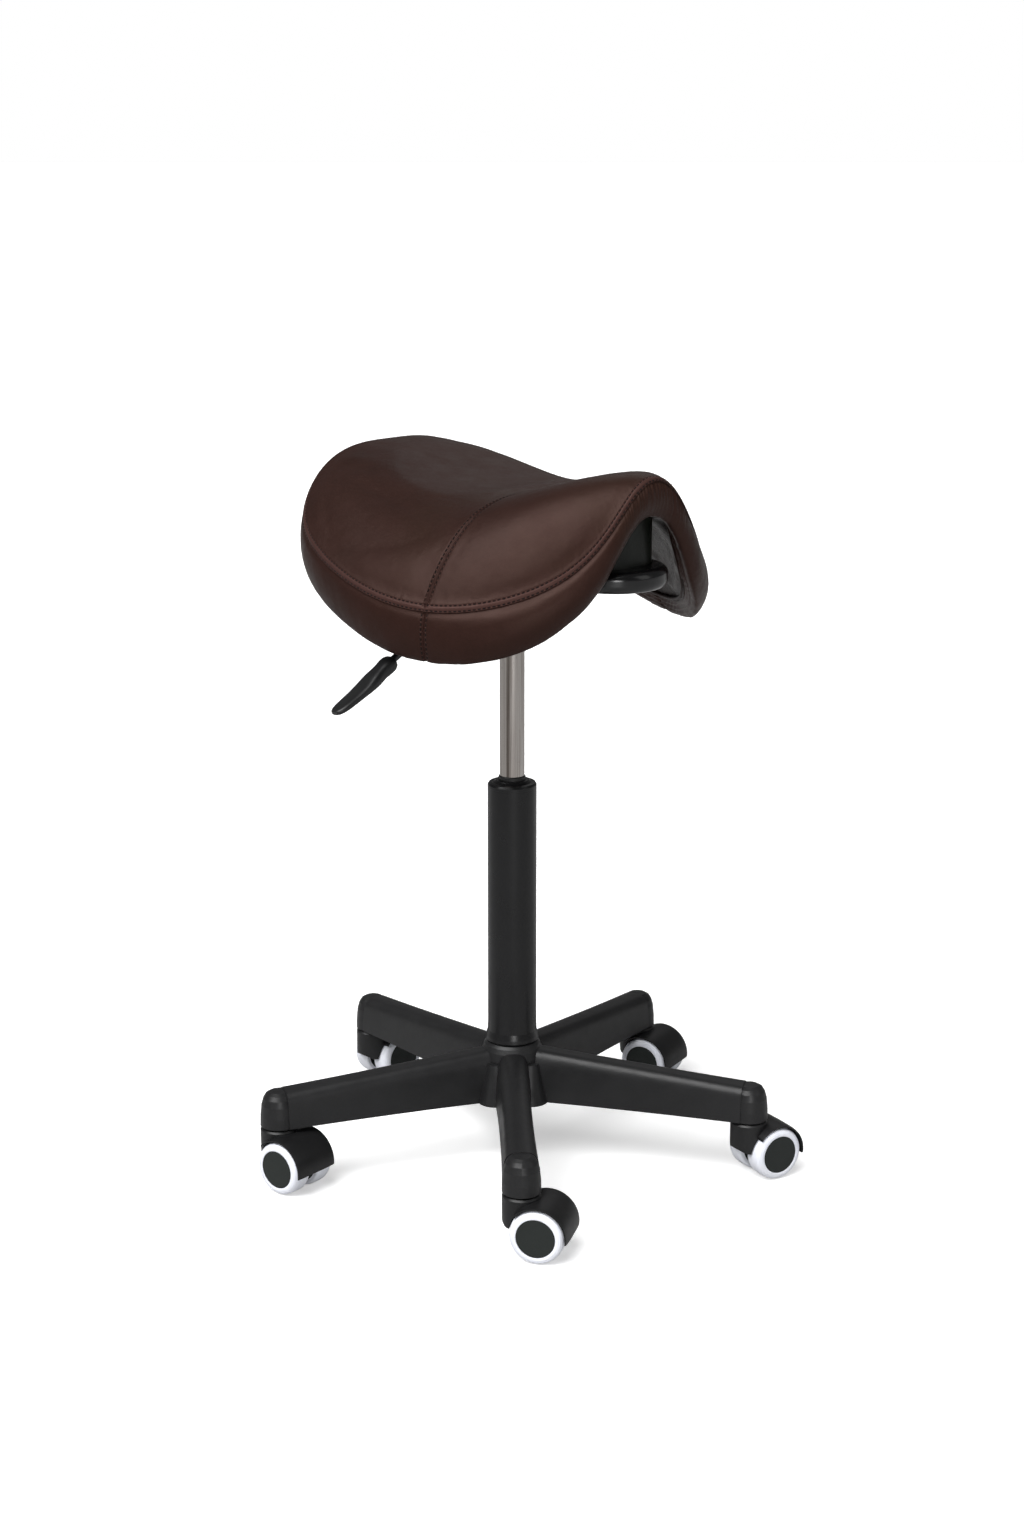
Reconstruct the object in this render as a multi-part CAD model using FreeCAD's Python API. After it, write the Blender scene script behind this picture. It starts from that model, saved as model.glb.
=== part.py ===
# Saddle stool for a dental treatment room: five-arm nylon base on hooded twin-wheel
# casters, covered gas lift, saddle seat with a sewn leather cover and a release lever.
# Millimetres, +Z up, origin on the floor under the column axis.
import FreeCAD
import Part
import os
from math import sin, cos, radians, sqrt, pi, atan2, hypot
from FreeCAD import Vector as V

os.makedirs("parts", exist_ok=True)

# ------------------------------------------------------------------ dimensions
# casters
WHEEL_R = 30.0          # tread radius
CORE_R = 21.7           # wheel core radius
TRACK = 30.5            # half the width over both wheels
WEB = 4.5               # half thickness of the housing web between the wheels
TRAIL = 22.8            # stem axis to axle
HOOD_R = 34.5           # crown radius of the hood, about the axle
HOOD_IN = 31.6          # inside radius of the hood
STEM_D = 11.0
COLLAR_D = 42.0
COLLAR_TOP = 67.0
# yaw of each caster: direction of the outward wheel face, degrees from -Y (left +)
CASTER_YAW = {"f": 15.4, "l": 38.5, "r": -30.4, "bl": -43.7, "br": 30.7}
# base
ARM_AZ = {"f": 2.06, "l": 2.06 - 72, "r": 2.06 + 72, "bl": 2.06 - 144, "br": 2.06 + 144}
STEM_CIRCLE = 278.25
BASE_BOTTOM = 69.5
ARM_TOP_HUB = 129.0
ARM_TOP_TIP = 110.0
TIP_R = 21.1
HUB_R = 37.0
HUB_TOP = 136.0
# gas lift and cover
STAND_D = 50.0
COVER_D = 55.4
COVER_ID = 51.6
COVER_TOP = 441.0
SKIRT_D = 61.0
TUBE_D = 28.0
BUSH_TOP = 450.0
BUSH_COLLAR_D = 30.4
ROD_D = 10.0
TUBE_LOW = 240.0
TUBE_TOP = 648.0
# seat plan and surface
SEAT_AZ = -44.0         # direction of the front of the saddle
SEAT_UC = 5.35          # middle of the seat outline along its length
SEAT_A = 199.13         # half length at the perimeter seam
SEAT_W = 207.22         # half width factor
SEAT_E = 0.5622
SEAT_T = (-0.080, -0.0985, -0.137)
RIDGE = (773.70, 1.562, 82.148, -3.332, -47.926)    # height along the ridge
DROP_B = (213.39, -37.755, -88.544)                 # half width at 100 mm of drop
DROP_P = (4.3188, -0.5343, -1.6885)                 # power of the drop across the seat
PAD = 44.0              # depth of the pad under the ridge
BAND_AT = (0, 15, 30, 45, 60, 78, 110, 145, 180)    # degrees round the outline, 0 front
BAND_H = (44.8, 58.0, 63.0, 67.0, 67.0, 65.5, 60.0, 57.0, 56.0)
BAND_OUT = (5.5, 7.0, 9.5, 10.5, 7.5, 5.5, 5.0, 5.0, 5.0)
LEATHER = 1.4
# under the seat
PAN_Z0, PAN_Z1 = 684.4, 708.0
PAN_FRONT, PAN_REAR, PAN_HW, PAN_R = 206.5, -150.0, 58.0, 57.0
BLOCK_FRONT, BLOCK_REAR, BLOCK_HW, BLOCK_R = 180.5, -125.0, 54.0, 46.0
PLATE_Z0, PLATE_Z1 = 680.0, 684.2
SOCKET_D = 46.0
SOCKET_Z0 = 616.0
LEVER_AZ = SEAT_AZ - 90.0
LEVER_PIVOT_R, LEVER_PIVOT_Z = 37.0, 659.5
BOLT_U, BOLT_V = 62.0, 34.0


def out(name, shape):
    if not shape.isValid():
        print("INVALID", name)
    n = len(shape.Solids)
    print("%-22s solids %d  vol %.1f cm3" % (name, n, shape.Volume / 1000.0))
    shape.exportStep("parts/%s.step" % name)


def cyl(r, z0, z1, x=0.0, y=0.0):
    return Part.makeCylinder(r, z1 - z0, V(x, y, z0))


def ring(ro, ri, z0, z1, x=0.0, y=0.0):
    return cyl(ro, z0, z1, x, y).cut(cyl(ri, z0 - 1, z1 + 1, x, y))


def revolve(pts, centre=V(0, 0, 0), axis=V(0, 0, 1)):
    """solid of revolution about Z from (radius, z) points"""
    w = Part.makePolygon([V(r, 0, z) for r, z in pts] + [V(pts[0][0], 0, pts[0][1])])
    return Part.Face(w).revolve(centre, axis, 360)


def place(shape, az_deg, x=0.0, y=0.0, z=0.0):
    s = shape.copy()
    s.Placement = FreeCAD.Placement(V(x, y, z), FreeCAD.Rotation(V(0, 0, 1), az_deg)).multiply(s.Placement)
    return s


def box(x0, x1, y0, y1, z0, z1):
    return Part.makeBox(x1 - x0, y1 - y0, z1 - z0, V(x0, y0, z0))


# ------------------------------------------------------------------ free-form slabs
def knots(n, deg):
    k = [0.0] + [i / float(n - deg) for i in range(1, n - deg)] + [1.0]
    m = [deg + 1] + [1] * (n - deg - 1) + [deg + 1]
    return k, m


def patch(net, du=3, dv=3):
    nu, nv = len(net), len(net[0])
    du, dv = min(du, nu - 1), min(dv, nv - 1)
    ku, mu = knots(nu, du)
    kv, mv = knots(nv, dv)
    s = Part.BSplineSurface()
    s.buildFromPolesMultsKnots(net, mu, mv, ku, kv, False, False, du, dv)
    return s.toShape()


def slab(a, b):
    """closed solid between two nets of the same size"""
    f = [patch(a), patch(b)]
    f.append(patch([a[0], b[0]], 1, 3))
    f.append(patch([a[-1], b[-1]], 1, 3))
    f.append(patch([[r[0] for r in a], [r[0] for r in b]], 1, 3))
    f.append(patch([[r[-1] for r in a], [r[-1] for r in b]], 1, 3))
    sh = Part.makeShell(f)
    sh.sewShape()
    s = Part.makeSolid(Part.Shell(sh.Faces))
    if s.Volume < 0:
        s.reverse()
    return s


# ------------------------------------------------------------------ seat surface
def ridge_z(u):
    t = u / 200.0
    return RIDGE[0] + RIDGE[1] * t + RIDGE[2] * t ** 2 + RIDGE[3] * t ** 3 + RIDGE[4] * t ** 4


def top_z(u, v):
    t = u / 200.0
    b = max(DROP_B[0] + DROP_B[1] * t + DROP_B[2] * t * t, 20.0)
    q = min(max(DROP_P[0] + DROP_P[1] * t + DROP_P[2] * t * t, 1.2), 8.0)
    return ridge_z(u) - 100.0 * (abs(v) / b) ** q


def table(th, vals):
    """smooth value round the outline from BAND_AT, th in radians"""
    d = abs((th * 180.0 / pi + 180.0) % 360.0 - 180.0)
    for i in range(len(BAND_AT) - 1):
        if d <= BAND_AT[i + 1]:
            f = (d - BAND_AT[i]) / float(BAND_AT[i + 1] - BAND_AT[i])
            h = BAND_AT[i + 1] - BAND_AT[i]

            def slope(k):
                if k <= 0 or k >= len(vals) - 1:
                    return 0.0
                return (vals[k + 1] - vals[k - 1]) / float(BAND_AT[k + 1] - BAND_AT[k - 1])
            m0, m1 = slope(i) * h, slope(i + 1) * h
            return ((2 * f ** 3 - 3 * f ** 2 + 1) * vals[i] + (f ** 3 - 2 * f ** 2 + f) * m0
                    + (-2 * f ** 3 + 3 * f ** 2) * vals[i + 1] + (f ** 3 - f ** 2) * m1)
    return vals[-1]


def depth(r, th):
    """vertical depth of the pad at polar place (r, th) on the outline"""
    return PAD + (table(th, BAND_H) - PAD) * r ** 3


def polar(u, v):
    """polar place of a plan point, by bisection"""
    lo, hi = 0.0, pi
    for _ in range(50):
        m = 0.5 * (lo + hi)
        ru, rv = rim(m)
        if atan2(rv, ru - SEAT_UC) < atan2(abs(v), u - SEAT_UC):
            lo = m
        else:
            hi = m
    ru, rv = rim(lo)
    return hypot(u - SEAT_UC, v) / hypot(ru - SEAT_UC, rv), (lo if v >= 0 else -lo)


def under_z(u, v, k):
    r, th = polar(u, v)
    return top_z(u, v) - k * depth(r, th)


def grad(u, v):
    e = 0.5
    return ((top_z(u + e, v) - top_z(u - e, v)) / (2 * e), (top_z(u, v + e) - top_z(u, v - e)) / (2 * e))


def sq(u, v):
    g = grad(u, v)
    return sqrt(1 + g[0] ** 2 + g[1] ** 2)


def rim(th):
    """plan outline at the perimeter seam, th = 0 at the front, signed"""
    c, s = cos(th), sin(th)
    w = SEAT_W * abs(s) ** SEAT_E * (1 + SEAT_T[0] * c + SEAT_T[1] * c * c + SEAT_T[2] * c ** 3)
    return SEAT_UC + SEAT_A * c, (w if s >= 0 else -w)


def rim_normal(th):
    e = 0.02
    a, b = rim(th - e), rim(th + e)
    n = (b[1] - a[1], -(b[0] - a[0]))
    h = hypot(*n)
    return n[0] / h, n[1] / h


def world(u, v, z):
    b = radians(SEAT_AZ)
    return V(u * cos(b) - v * sin(b), u * sin(b) + v * cos(b), z)


def disc_net(n, zfun, inset=0.0):
    """square net mapped onto the seat outline, pulled in by inset"""
    net = []
    for i in range(n):
        row = []
        for j in range(n):
            x, y = -1 + 2.0 * i / (n - 1), -1 + 2.0 * j / (n - 1)
            X, Y = x * sqrt(1 - y * y / 2), y * sqrt(1 - x * x / 2)
            r, th = hypot(X, Y), atan2(Y, X)
            ru, rv = rim(th)
            nu_, nv_ = rim_normal(th)
            ru, rv = ru - inset * nu_, rv - inset * nv_
            u, v = SEAT_UC + r * (ru - SEAT_UC), r * rv
            row.append(world(u, v, zfun(u, v, r, th)))
        net.append(row)
    return net


def band_section(th, off):
    """section of the side band at th; off is the distance inside the outer face"""
    u, v = rim(th)
    n = rim_normal(th)
    z0 = top_z(u, v)
    h = table(th, BAND_H)
    bu = table(th, BAND_OUT)
    g = grad(u, v)
    sl = min(max(-(g[0] * n[0] + g[1] * n[1]), -0.3), 1.6)
    pts = [(0.9, -LEATHER * sq(u, v) - 0.6), (0.72 * bu, -0.17 * h), (bu, -0.40 * h), (0.85 * bu, -0.64 * h), (-0.02 * bu, -0.86 * h),
           (-5.5, -0.965 * h + 1.5 * sl), (-12.0, -h + 10.0 * sl), (-19.0, -h + 17.5 * sl)]
    res = []
    for i, (d, z) in enumerate(pts):
        a = pts[max(i - 1, 0)]
        b = pts[min(i + 1, len(pts) - 1)]
        t = (b[0] - a[0], b[1] - a[1])
        L = hypot(*t)
        m = (t[1] / L, -t[0] / L)          # points inwards
        dd, zz = d + m[0] * off, z + m[1] * off
        res.append(world(u + n[0] * dd, v + n[1] * dd, z0 + zz))
    return res


SEAM_TH = 1.277         # where the cross seam meets the perimeter seam


def seam_u(v):
    """the cross seam runs a little forward over the ridge"""
    w = rim(SEAM_TH)[1]
    t = min(abs(v) / w, 1.0)
    return rim(SEAM_TH)[0] + 2.8 * (1 - t * t)


def top_net(front, off, n=17):
    sgn = 1 if front else -1
    th1 = 0.75 if front else pi - 0.75
    e = 0.35

    def P(th):
        u, v = rim(th)
        nn = rim_normal(th)
        return (u - nn[0] * 0.6, v - nn[1] * 0.6)
    w = rim(SEAM_TH)[1] - 0.6

    def B(s):
        v = w * s
        return (seam_u(v) + sgn * e, v)

    def T(s):
        th = th1 * s if front else (pi - (pi - th1) * s)
        return P(th)

    def L(t, side):
        th = SEAM_TH + (th1 - SEAM_TH) * t
        u, v = P(th)
        b = B(1)
        p0 = P(SEAM_TH)
        return (u + (b[0] - p0[0]) * (1 - t), side * (v + (b[1] - p0[1]) * (1 - t)))
    net = []
    for i in range(n):
        s = -1 + 2.0 * i / (n - 1)
        row = []
        for j in range(n):
            t = j / float(n - 1)
            q = 0.5 * (s + 1)
            a, b, l, r = B(s), T(s), L(t, -1), L(t, 1)
            c00, c01, c10, c11 = B(-1), T(-1), B(1), T(1)
            p = [(1 - t) * a[k] + t * b[k] + (1 - q) * l[k] + q * r[k]
                 - ((1 - q) * (1 - t) * c00[k] + (1 - q) * t * c01[k] + q * (1 - t) * c10[k] + q * t * c11[k]) for k in (0, 1)]
            row.append(world(p[0], p[1], top_z(*p) - off * sq(*p)))
        net.append(row)
    return net


def band(front, n=41):
    a, b = [], []
    t0, t1 = (-SEAM_TH + 0.004, SEAM_TH - 0.004) if front else (SEAM_TH + 0.004, 2 * pi - SEAM_TH - 0.004)
    for i in range(n):
        th = t0 + (t1 - t0) * i / (n - 1)
        a.append(band_section(th, 0.0))
        b.append(band_section(th, LEATHER))
    return slab(a, b)


# ---- cover, foam, shell
out("cover_top_front", slab(top_net(True, 0.0), top_net(True, LEATHER)))
out("cover_top_rear", slab(top_net(False, 0.0), top_net(False, LEATHER)))
out("cover_band_front", band(True))
out("cover_band_rear", band(False, 53))


def foam_net(n):
    """foam top and sides in one net"""
    net = []
    for i in range(n):
        row = []
        for j in range(n):
            x, y = -1 + 2.0 * i / (n - 1), -1 + 2.0 * j / (n - 1)
            X, Y = x * sqrt(1 - y * y / 2), y * sqrt(1 - x * x / 2)
            r, th = min(hypot(X, Y), 1.0), atan2(Y, X)
            ru, rv = rim(th)
            nn = rim_normal(th)
            rs = 0.86
            if r <= rs:
                q = r / rs
                u = SEAT_UC + q * (ru - 3.2 * nn[0] - SEAT_UC)
                v = q * (rv - 3.2 * nn[1])
                z = top_z(u, v) - 3.2 * sq(u, v)
            else:
                q = (r - rs) / (1 - rs)
                u, v = ru - 3.0 * nn[0], rv - 3.0 * nn[1]
                z = top_z(u, v) - 3.2 * sq(u, v) - q * (0.82 * depth(1.0, th) - 3.2 * sq(u, v))
            row.append(world(u, v, z))
        net.append(row)
    return net


def layer(k, inset, n=21):
    return disc_net(n, lambda u, v, r, th: top_z(u, v) - k * depth(r, th), inset)


FOAM_K, SHELL_K0, SHELL_K1, LINING_K0, LINING_K1 = 0.66, 0.69, 0.88, 0.925, 0.955
foam = slab(foam_net(25), layer(FOAM_K, 8.0, 25))
shell = slab(layer(SHELL_K0, 21.0), layer(SHELL_K1, 21.0))
lining = slab(layer(LINING_K0, 22.0), layer(LINING_K1, 22.0))

# ---- support block under the shell, its top follows the lining
blk = box(BLOCK_REAR, BLOCK_FRONT, -BLOCK_HW, BLOCK_HW, PAN_Z1 + 0.1, 800.0)
blk = blk.makeFillet(BLOCK_R, [e for e in blk.Edges if abs(e.tangentAt(e.FirstParameter).z) > 0.9])
blk = place(blk, SEAT_AZ)
over = slab(layer(-1.2, 22.0), layer(LINING_K1 + 0.012, 22.0))
blk = blk.cut(over)

bolts, washers, tees = [], [], []
for su in (-1, 1):
    for sv in (-1, 1):
        u, v = su * BOLT_U, sv * BOLT_V
        p = world(u, v, 0)
        hole = cyl(4.2, 660.0, 760.0, p.x, p.y)
        blk = blk.cut(hole)
        lining = lining.cut(cyl(5.0, 660.0, 790.0, p.x, p.y))
        zt = under_z(u, v, SHELL_K0) - 1.2
        zb = under_z(u, v, SHELL_K1) + 0.8
        shell = shell.cut(cyl(6.7, 660.0, zt + 0.1, p.x, p.y))
        head = Part.makePolygon([V(p.x + 7.0 * cos(radians(60 * i)), p.y + 7.0 * sin(radians(60 * i)), PLATE_Z0 - 1.6 - 5.3) for i in range(7)])
        bolts.append(Part.Face(head).extrude(V(0, 0, 5.2)).fuse(cyl(3.9, PLATE_Z0 - 1.7, zt - 1.0, p.x, p.y)))
        washers.append(ring(8.5, 4.2, PLATE_Z0 - 1.6, PLATE_Z0, p.x, p.y))
        tees.append(ring(6.6, 3.95, zb, zt, p.x, p.y))

out("seat_foam", foam)
out("seat_shell", shell)
out("cover_lining", lining)
out("support_block", blk)
out("tee_nuts", Part.makeCompound(tees))
out("seat_bolts", Part.makeCompound(bolts))
out("seat_washers", Part.makeCompound(washers))


# ---- pan: pressed tray with a rounded rim, open below
def rounded(u0, u1, hw, r, z0, z1):
    b = box(u0, u1, -hw, hw, z0, z1)
    return b.makeFillet(r, [e for e in b.Edges if abs(e.tangentAt(e.FirstParameter).z) > 0.9])


pan = rounded(PAN_REAR, PAN_FRONT, PAN_HW, PAN_R, PAN_Z0, PAN_Z1)
pan = pan.makeFillet(9.0, [e for e in pan.Edges if abs(e.BoundBox.ZMin - PAN_Z1) < 0.01])
pan = pan.makeFillet(9.0, [e for e in pan.Edges if abs(e.BoundBox.ZMax - PAN_Z0) < 0.01])
inner = rounded(PAN_REAR + 6, PAN_FRONT - 6, PAN_HW - 6, PAN_R - 6, PAN_Z0 - 5, PAN_Z1 - 4.0)
ribs_ = box(-140.0, 150.0, -2.0, 2.0, PAN_Z0 + 2.0, PAN_Z1 - 3.0)
for xu in (-100.0, -62.0, 0.0, 62.0, 110.0):
    ribs_ = ribs_.fuse(box(xu - 1.6, xu + 1.6, -76.0, 76.0, PAN_Z0 + 2.0, PAN_Z1 - 3.0))
for su in (-1, 1):
    for sv in (-1, 1):
        ribs_ = ribs_.fuse(cyl(11.0, PAN_Z0, PAN_Z1 - 3.0, su * BOLT_U, sv * BOLT_V))
pan = pan.cut(inner.cut(ribs_))
pan = place(pan, SEAT_AZ)
for su in (-1, 1):
    for sv in (-1, 1):
        p = world(su * BOLT_U, sv * BOLT_V, 0)
        pan = pan.cut(cyl(4.2, 660.0, 720.0, p.x, p.y))
out("seat_pan", pan)

# ---- mechanism plate with the taper socket and the lever cheeks
plate = rounded(-80.0, 80.0, 52.0, 10.0, PLATE_Z0, PLATE_Z1)
mech = plate.fuse(cyl(SOCKET_D / 2, SOCKET_Z0, 646.0))
cage = rounded(-19.0, 19.0, 24.0, 3.0, 640.0, PLATE_Z0 + 0.5)
cage = cage.fuse(box(-19.0, 19.0, -46.0, -20.0, 646.0, PLATE_Z0 + 0.5))
mech = mech.fuse(cage)
mech = mech.cut(box(-8.0, 8.0, -60.0, 17.0, 648.4, PLATE_Z0 - 3.0))
mech = mech.cut(box(-8.0, 8.0, -60.0, -24.0, 630.0, PLATE_Z0 - 3.0))
mech = mech.cut(Part.makeCylinder(3.06, 60.0, V(-30, -LEVER_PIVOT_R, LEVER_PIVOT_Z), V(1, 0, 0)))
mech = mech.cut(revolve([(0, SOCKET_Z0 - 1), (TUBE_D / 2, SOCKET_Z0 - 1), (TUBE_D / 2, 630.0), (13.0, TUBE_TOP), (0, TUBE_TOP)]))
mech = mech.cut(cyl(5.0, 640.0, 655.0))
mech = place(mech, SEAT_AZ)
for su in (-1, 1):
    for sv in (-1, 1):
        p = world(su * BOLT_U, sv * BOLT_V, 0)
        mech = mech.cut(cyl(4.2, 660.0, 700.0, p.x, p.y))
out("seat_mechanism", mech)

# ---- release lever: bent rod with a cross pin, and a twisted paddle grip
def lev(r, t, z):
    a = radians(LEVER_AZ)
    return V(r * cos(a) - t * sin(a), r * sin(a) + t * cos(a), z)


rod_pts = [lev(-5.0, 0, 662.0), lev(LEVER_PIVOT_R, 0, LEVER_PIVOT_Z), lev(104.0, 0, 648.0), lev(214.0, 0, 594.2)]


def tube_path(pts, r, bend):
    """round bar along straight runs with spheres at the turns"""
    s = None
    for a, b in zip(pts[:-1], pts[1:]):
        c = Part.makeCylinder(r, (b - a).Length, a, b - a)
        s = c if s is None else s.fuse(c)
    for p in pts[1:-1]:
        s = s.fuse(Part.makeSphere(r, p))
    return s


lrod = tube_path(rod_pts, 4.0, 0)
a_ = radians(SEAT_AZ)
lrod = lrod.fuse(Part.makeCylinder(3.0, 37.6, lev(LEVER_PIVOT_R, 0, LEVER_PIVOT_Z) - V(cos(a_), sin(a_), 0) * 18.8, V(cos(a_), sin(a_), 0)))

# paddle sections: distance along the grip, half width, half thickness, twist, drop below the line
d0 = lev(104.0, 0, 648.0)
d1 = lev(196.0, 0, 603.0)
ax = (d1 - d0).normalize()
side = V(cos(a_), sin(a_), 0)
nrm = side.cross(ax)
if nrm.z < 0:
    nrm = nrm * -1.0
start = d0 + ax * 88.0
SEC = [(0.0, 7.6, 5.9, 2, -0.6), (1.6, 8.6, 6.8, 2, -0.7), (18.0, 9.4, 7.4, 3, -1.6), (32.0, 11.2, 7.0, 4, -2.6), (43.0, 12.4, 5.8, 5, -3.3),
       (58.0, 12.2, 4.6, 6, -3.6), (74.0, 11.4, 4.2, 6, -3.4), (84.0, 10.2, 3.8, 6, -3.1), (90.0, 7.8, 3.1, 6, -2.9), (93.0, 4.4, 2.0, 6, -2.8)]


def ell(sec):
    d, hw, ht, tw, dz = sec
    c = start + ax * d + nrm * dz
    t = radians(tw)
    e1 = side * cos(t) + nrm * sin(t)
    e2 = side * (-sin(t)) + nrm * cos(t)
    pts = []
    for i in range(16):
        q = 2 * pi * i / 16
        cx, sx = cos(q), sin(q)
        x = hw * (abs(cx) ** 0.55) * (1 if cx >= 0 else -1)
        y = ht * (abs(sx) ** 0.75) * (1 if sx >= 0 else -1)
        pts.append(c + e1 * x + e2 * y)
    bs = Part.BSplineCurve()
    bs.interpolate(pts, PeriodicFlag=True)
    return Part.Wire([bs.toShape()])


lrod_end = (rod_pts[-1] - d0).Length
out("lever_rod", lrod)
# the rod ends inside the grip's blind bore
bore = Part.makeCylinder(4.02, lrod_end - 60.0 + 0.3, d0 + ax * 60.0, ax)
grip2 = Part.makeLoft([ell(s) for s in SEC], True, False).cut(bore)
out("lever_grip", grip2)

# ------------------------------------------------------------------ gas lift
out("stand_tube", revolve([(26.0 / 2 + 10.0, 60.0), (24.0, 60.0), (25.0, 128.0), (25.0, 436.0), (23.0, 436.0), (23.0, 64.0), (5.3, 64.0), (5.3, 60.0)]))
out("guide_bush", revolve([(14.06, 320.0), (22.95, 320.0), (22.95, 436.2), (22.95, 441.6), (BUSH_COLLAR_D / 2, 441.8), (BUSH_COLLAR_D / 2, 448.6), (BUSH_COLLAR_D / 2 - 1.0, BUSH_TOP), (14.06, BUSH_TOP)]))
out("dust_cover", revolve([(COVER_ID / 2, 139.0), (SKIRT_D / 2 - 1.2, 137.0), (SKIRT_D / 2, 138.5), (SKIRT_D / 2 - 0.6, 142.5), (COVER_D / 2 + 0.35, 149.0), (COVER_D / 2, 158.0), (COVER_D / 2 - 0.1, 436.4), (COVER_ID / 2, 436.4)]))
out("cover_cap", revolve([(23.2, 436.5), (COVER_D / 2 - 0.1, 436.5), (COVER_D / 2 - 0.1, 439.4), (COVER_D / 2 - 1.6, 441.6), (COVER_D / 2 - 4.4, 442.4), (COVER_D / 2 - 4.9, 441.7), (COVER_D / 2 - 6.0, 441.9),
                          (COVER_D / 2 - 8.0, 443.6), (18.6, 444.9), (15.6, 445.2), (15.6, 441.9), (23.2, 441.9)]))
out("thrust_bearing", ring(11.0, 5.1, 64.1, 69.6))
out("retaining_clip", ring(9.0, 4.0, 57.3, 58.7).cut(box(-2.2, 2.2, 0.0, 12.0, 50.0, 62.0)))
rod = cyl(ROD_D / 2, 69.7, 300.0).fuse(cyl(11.9, 296.0, 316.0)).fuse(cyl(4.9, 58.8, 69.7)).fuse(cyl(3.95, 54.0, 58.8)).fuse(cyl(8.6, 69.7, 72.5))
out("piston_rod", rod)
tube = revolve([(5.06, TUBE_LOW), (14.0, TUBE_LOW), (14.0, 630.0), (13.0, TUBE_TOP), (2.55, TUBE_TOP), (2.55, 628.0), (12.0, 628.0), (12.0, TUBE_LOW + 16.0), (5.06, TUBE_LOW + 16.0)])
out("pressure_tube", tube)
out("valve_pin", cyl(2.5, 634.0, 657.2))

# ------------------------------------------------------------------ star base
def arm_profile(r, hb, ht, zt, zb):
    """closed section square to the arm: rounded top, drafted sides (arm runs along +X)"""
    h = zt - zb
    pts = [(-hb, 0), (-hb * 0.985, 0.30 * h), (-hb * 0.5 - ht * 0.5, 0.62 * h), (-ht * 0.98, 0.84 * h), (-ht * 0.70, 0.955 * h), (0, h),
           (ht * 0.70, 0.955 * h), (ht * 0.98, 0.84 * h), (hb * 0.5 + ht * 0.5, 0.62 * h), (hb * 0.985, 0.30 * h), (hb, 0)]
    c = Part.BSplineCurve()
    c.interpolate([V(r, y, zb + z) for y, z in pts])
    return Part.Wire([c.toShape(), Part.makeLine(V(r, hb, zb), V(r, -hb, zb))])


def arm_top(r):
    t = (r - 57.0) / (STEM_CIRCLE - 57.0)
    return ARM_TOP_HUB - 2.0 + (ARM_TOP_TIP - ARM_TOP_HUB + 2.0) * t - 1.5 * t * (1 - t)


stations = [(14.0, 22.0, 17.0), (50.0, 20.0, 15.6), (110.0, 18.6, 15.2), (180.0, 18.6, 15.4), (236.0, 19.6, 16.2), (272.0, 20.9, 17.0)]
arm = Part.makeLoft([arm_profile(r, hb, ht, arm_top(r), BASE_BOTTOM) for r, hb, ht in stations], True, False)
# drop-shaped tip: boss over the caster socket
tip_z = arm_top(STEM_CIRCLE)
boss = revolve([(0, BASE_BOTTOM), (TIP_R, BASE_BOTTOM), (TIP_R - 0.3, BASE_BOTTOM + 12.0), (TIP_R - 1.6, BASE_BOTTOM + 25.0), (TIP_R - 3.8, tip_z - 8.0), (TIP_R - 6.6, tip_z - 3.4), (TIP_R - 11.0, tip_z - 0.9), (0, tip_z - 0.1)])
boss = place(boss, 0, STEM_CIRCLE, 0, 0)
arm_out = arm.fuse(boss)
# hollow underside with ribs
wall = 3.2
inn = Part.makeLoft([arm_profile(r, hb - wall, ht - wall, arm_top(r) - wall - 0.6, BASE_BOTTOM - 0.5) for r, hb, ht in [(44.0, 20.4, 15.8)] + stations[2:5] + [(256.0, 20.1, 16.6)]], True, False)
socket_post = cyl(9.5, BASE_BOTTOM, tip_z - 3.0, STEM_CIRCLE, 0)
ribs = box(30.0, 262.0, -1.3, 1.3, BASE_BOTTOM + 4.0, 140.0)
for xr in (84.0, 128.0, 172.0, 216.0):
    ribs = ribs.fuse(box(xr - 1.3, xr + 1.3, -20.0, 20.0, BASE_BOTTOM + 7.0, 140.0))
inn = inn.cut(ribs)

hub = revolve([(0, 60.0), (31.0, 60.0), (HUB_R - 1.0, BASE_BOTTOM - 4.0), (HUB_R, BASE_BOTTOM + 8.0), (HUB_R - 0.6, 118.0), (HUB_R - 2.6, 127.0), (HUB_R - 5.0, 132.5), (HUB_R - 7.6, HUB_TOP - 0.6), (HUB_R - 9.0, HUB_TOP), (0, HUB_TOP)])
base = hub
for k in ("f", "l", "r", "bl", "br"):
    base = base.fuse(place(arm_out, ARM_AZ[k] - 90.0))
# soft webs between neighbouring arms
for k in ("f", "l", "r", "bl", "br"):
    web = cyl(13.0, BASE_BOTTOM, 112.0, HUB_R + 1.0, 0)
    web = Part.makeCone(20.0, 9.0, 46.0, V(HUB_R - 3.0, 0, BASE_BOTTOM))
    base = base.fuse(place(web, ARM_AZ[k] - 90.0 + 36.0))
for k in ("f", "l", "r", "bl", "br"):
    base = base.cut(place(inn, ARM_AZ[k] - 90.0))
    base = base.cut(place(cyl(STEM_D / 2 + 0.0, BASE_BOTTOM - 2, BASE_BOTTOM + 33.0, STEM_CIRCLE, 0), ARM_AZ[k] - 90.0))
base = base.cut(revolve([(0, 50.0), (27.0, 50.0), (24.0, 60.0), (25.0, 128.0), (25.0, 140.0), (0, 140.0)]))
base = base.removeSplitter()
out("star_base", base)

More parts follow.
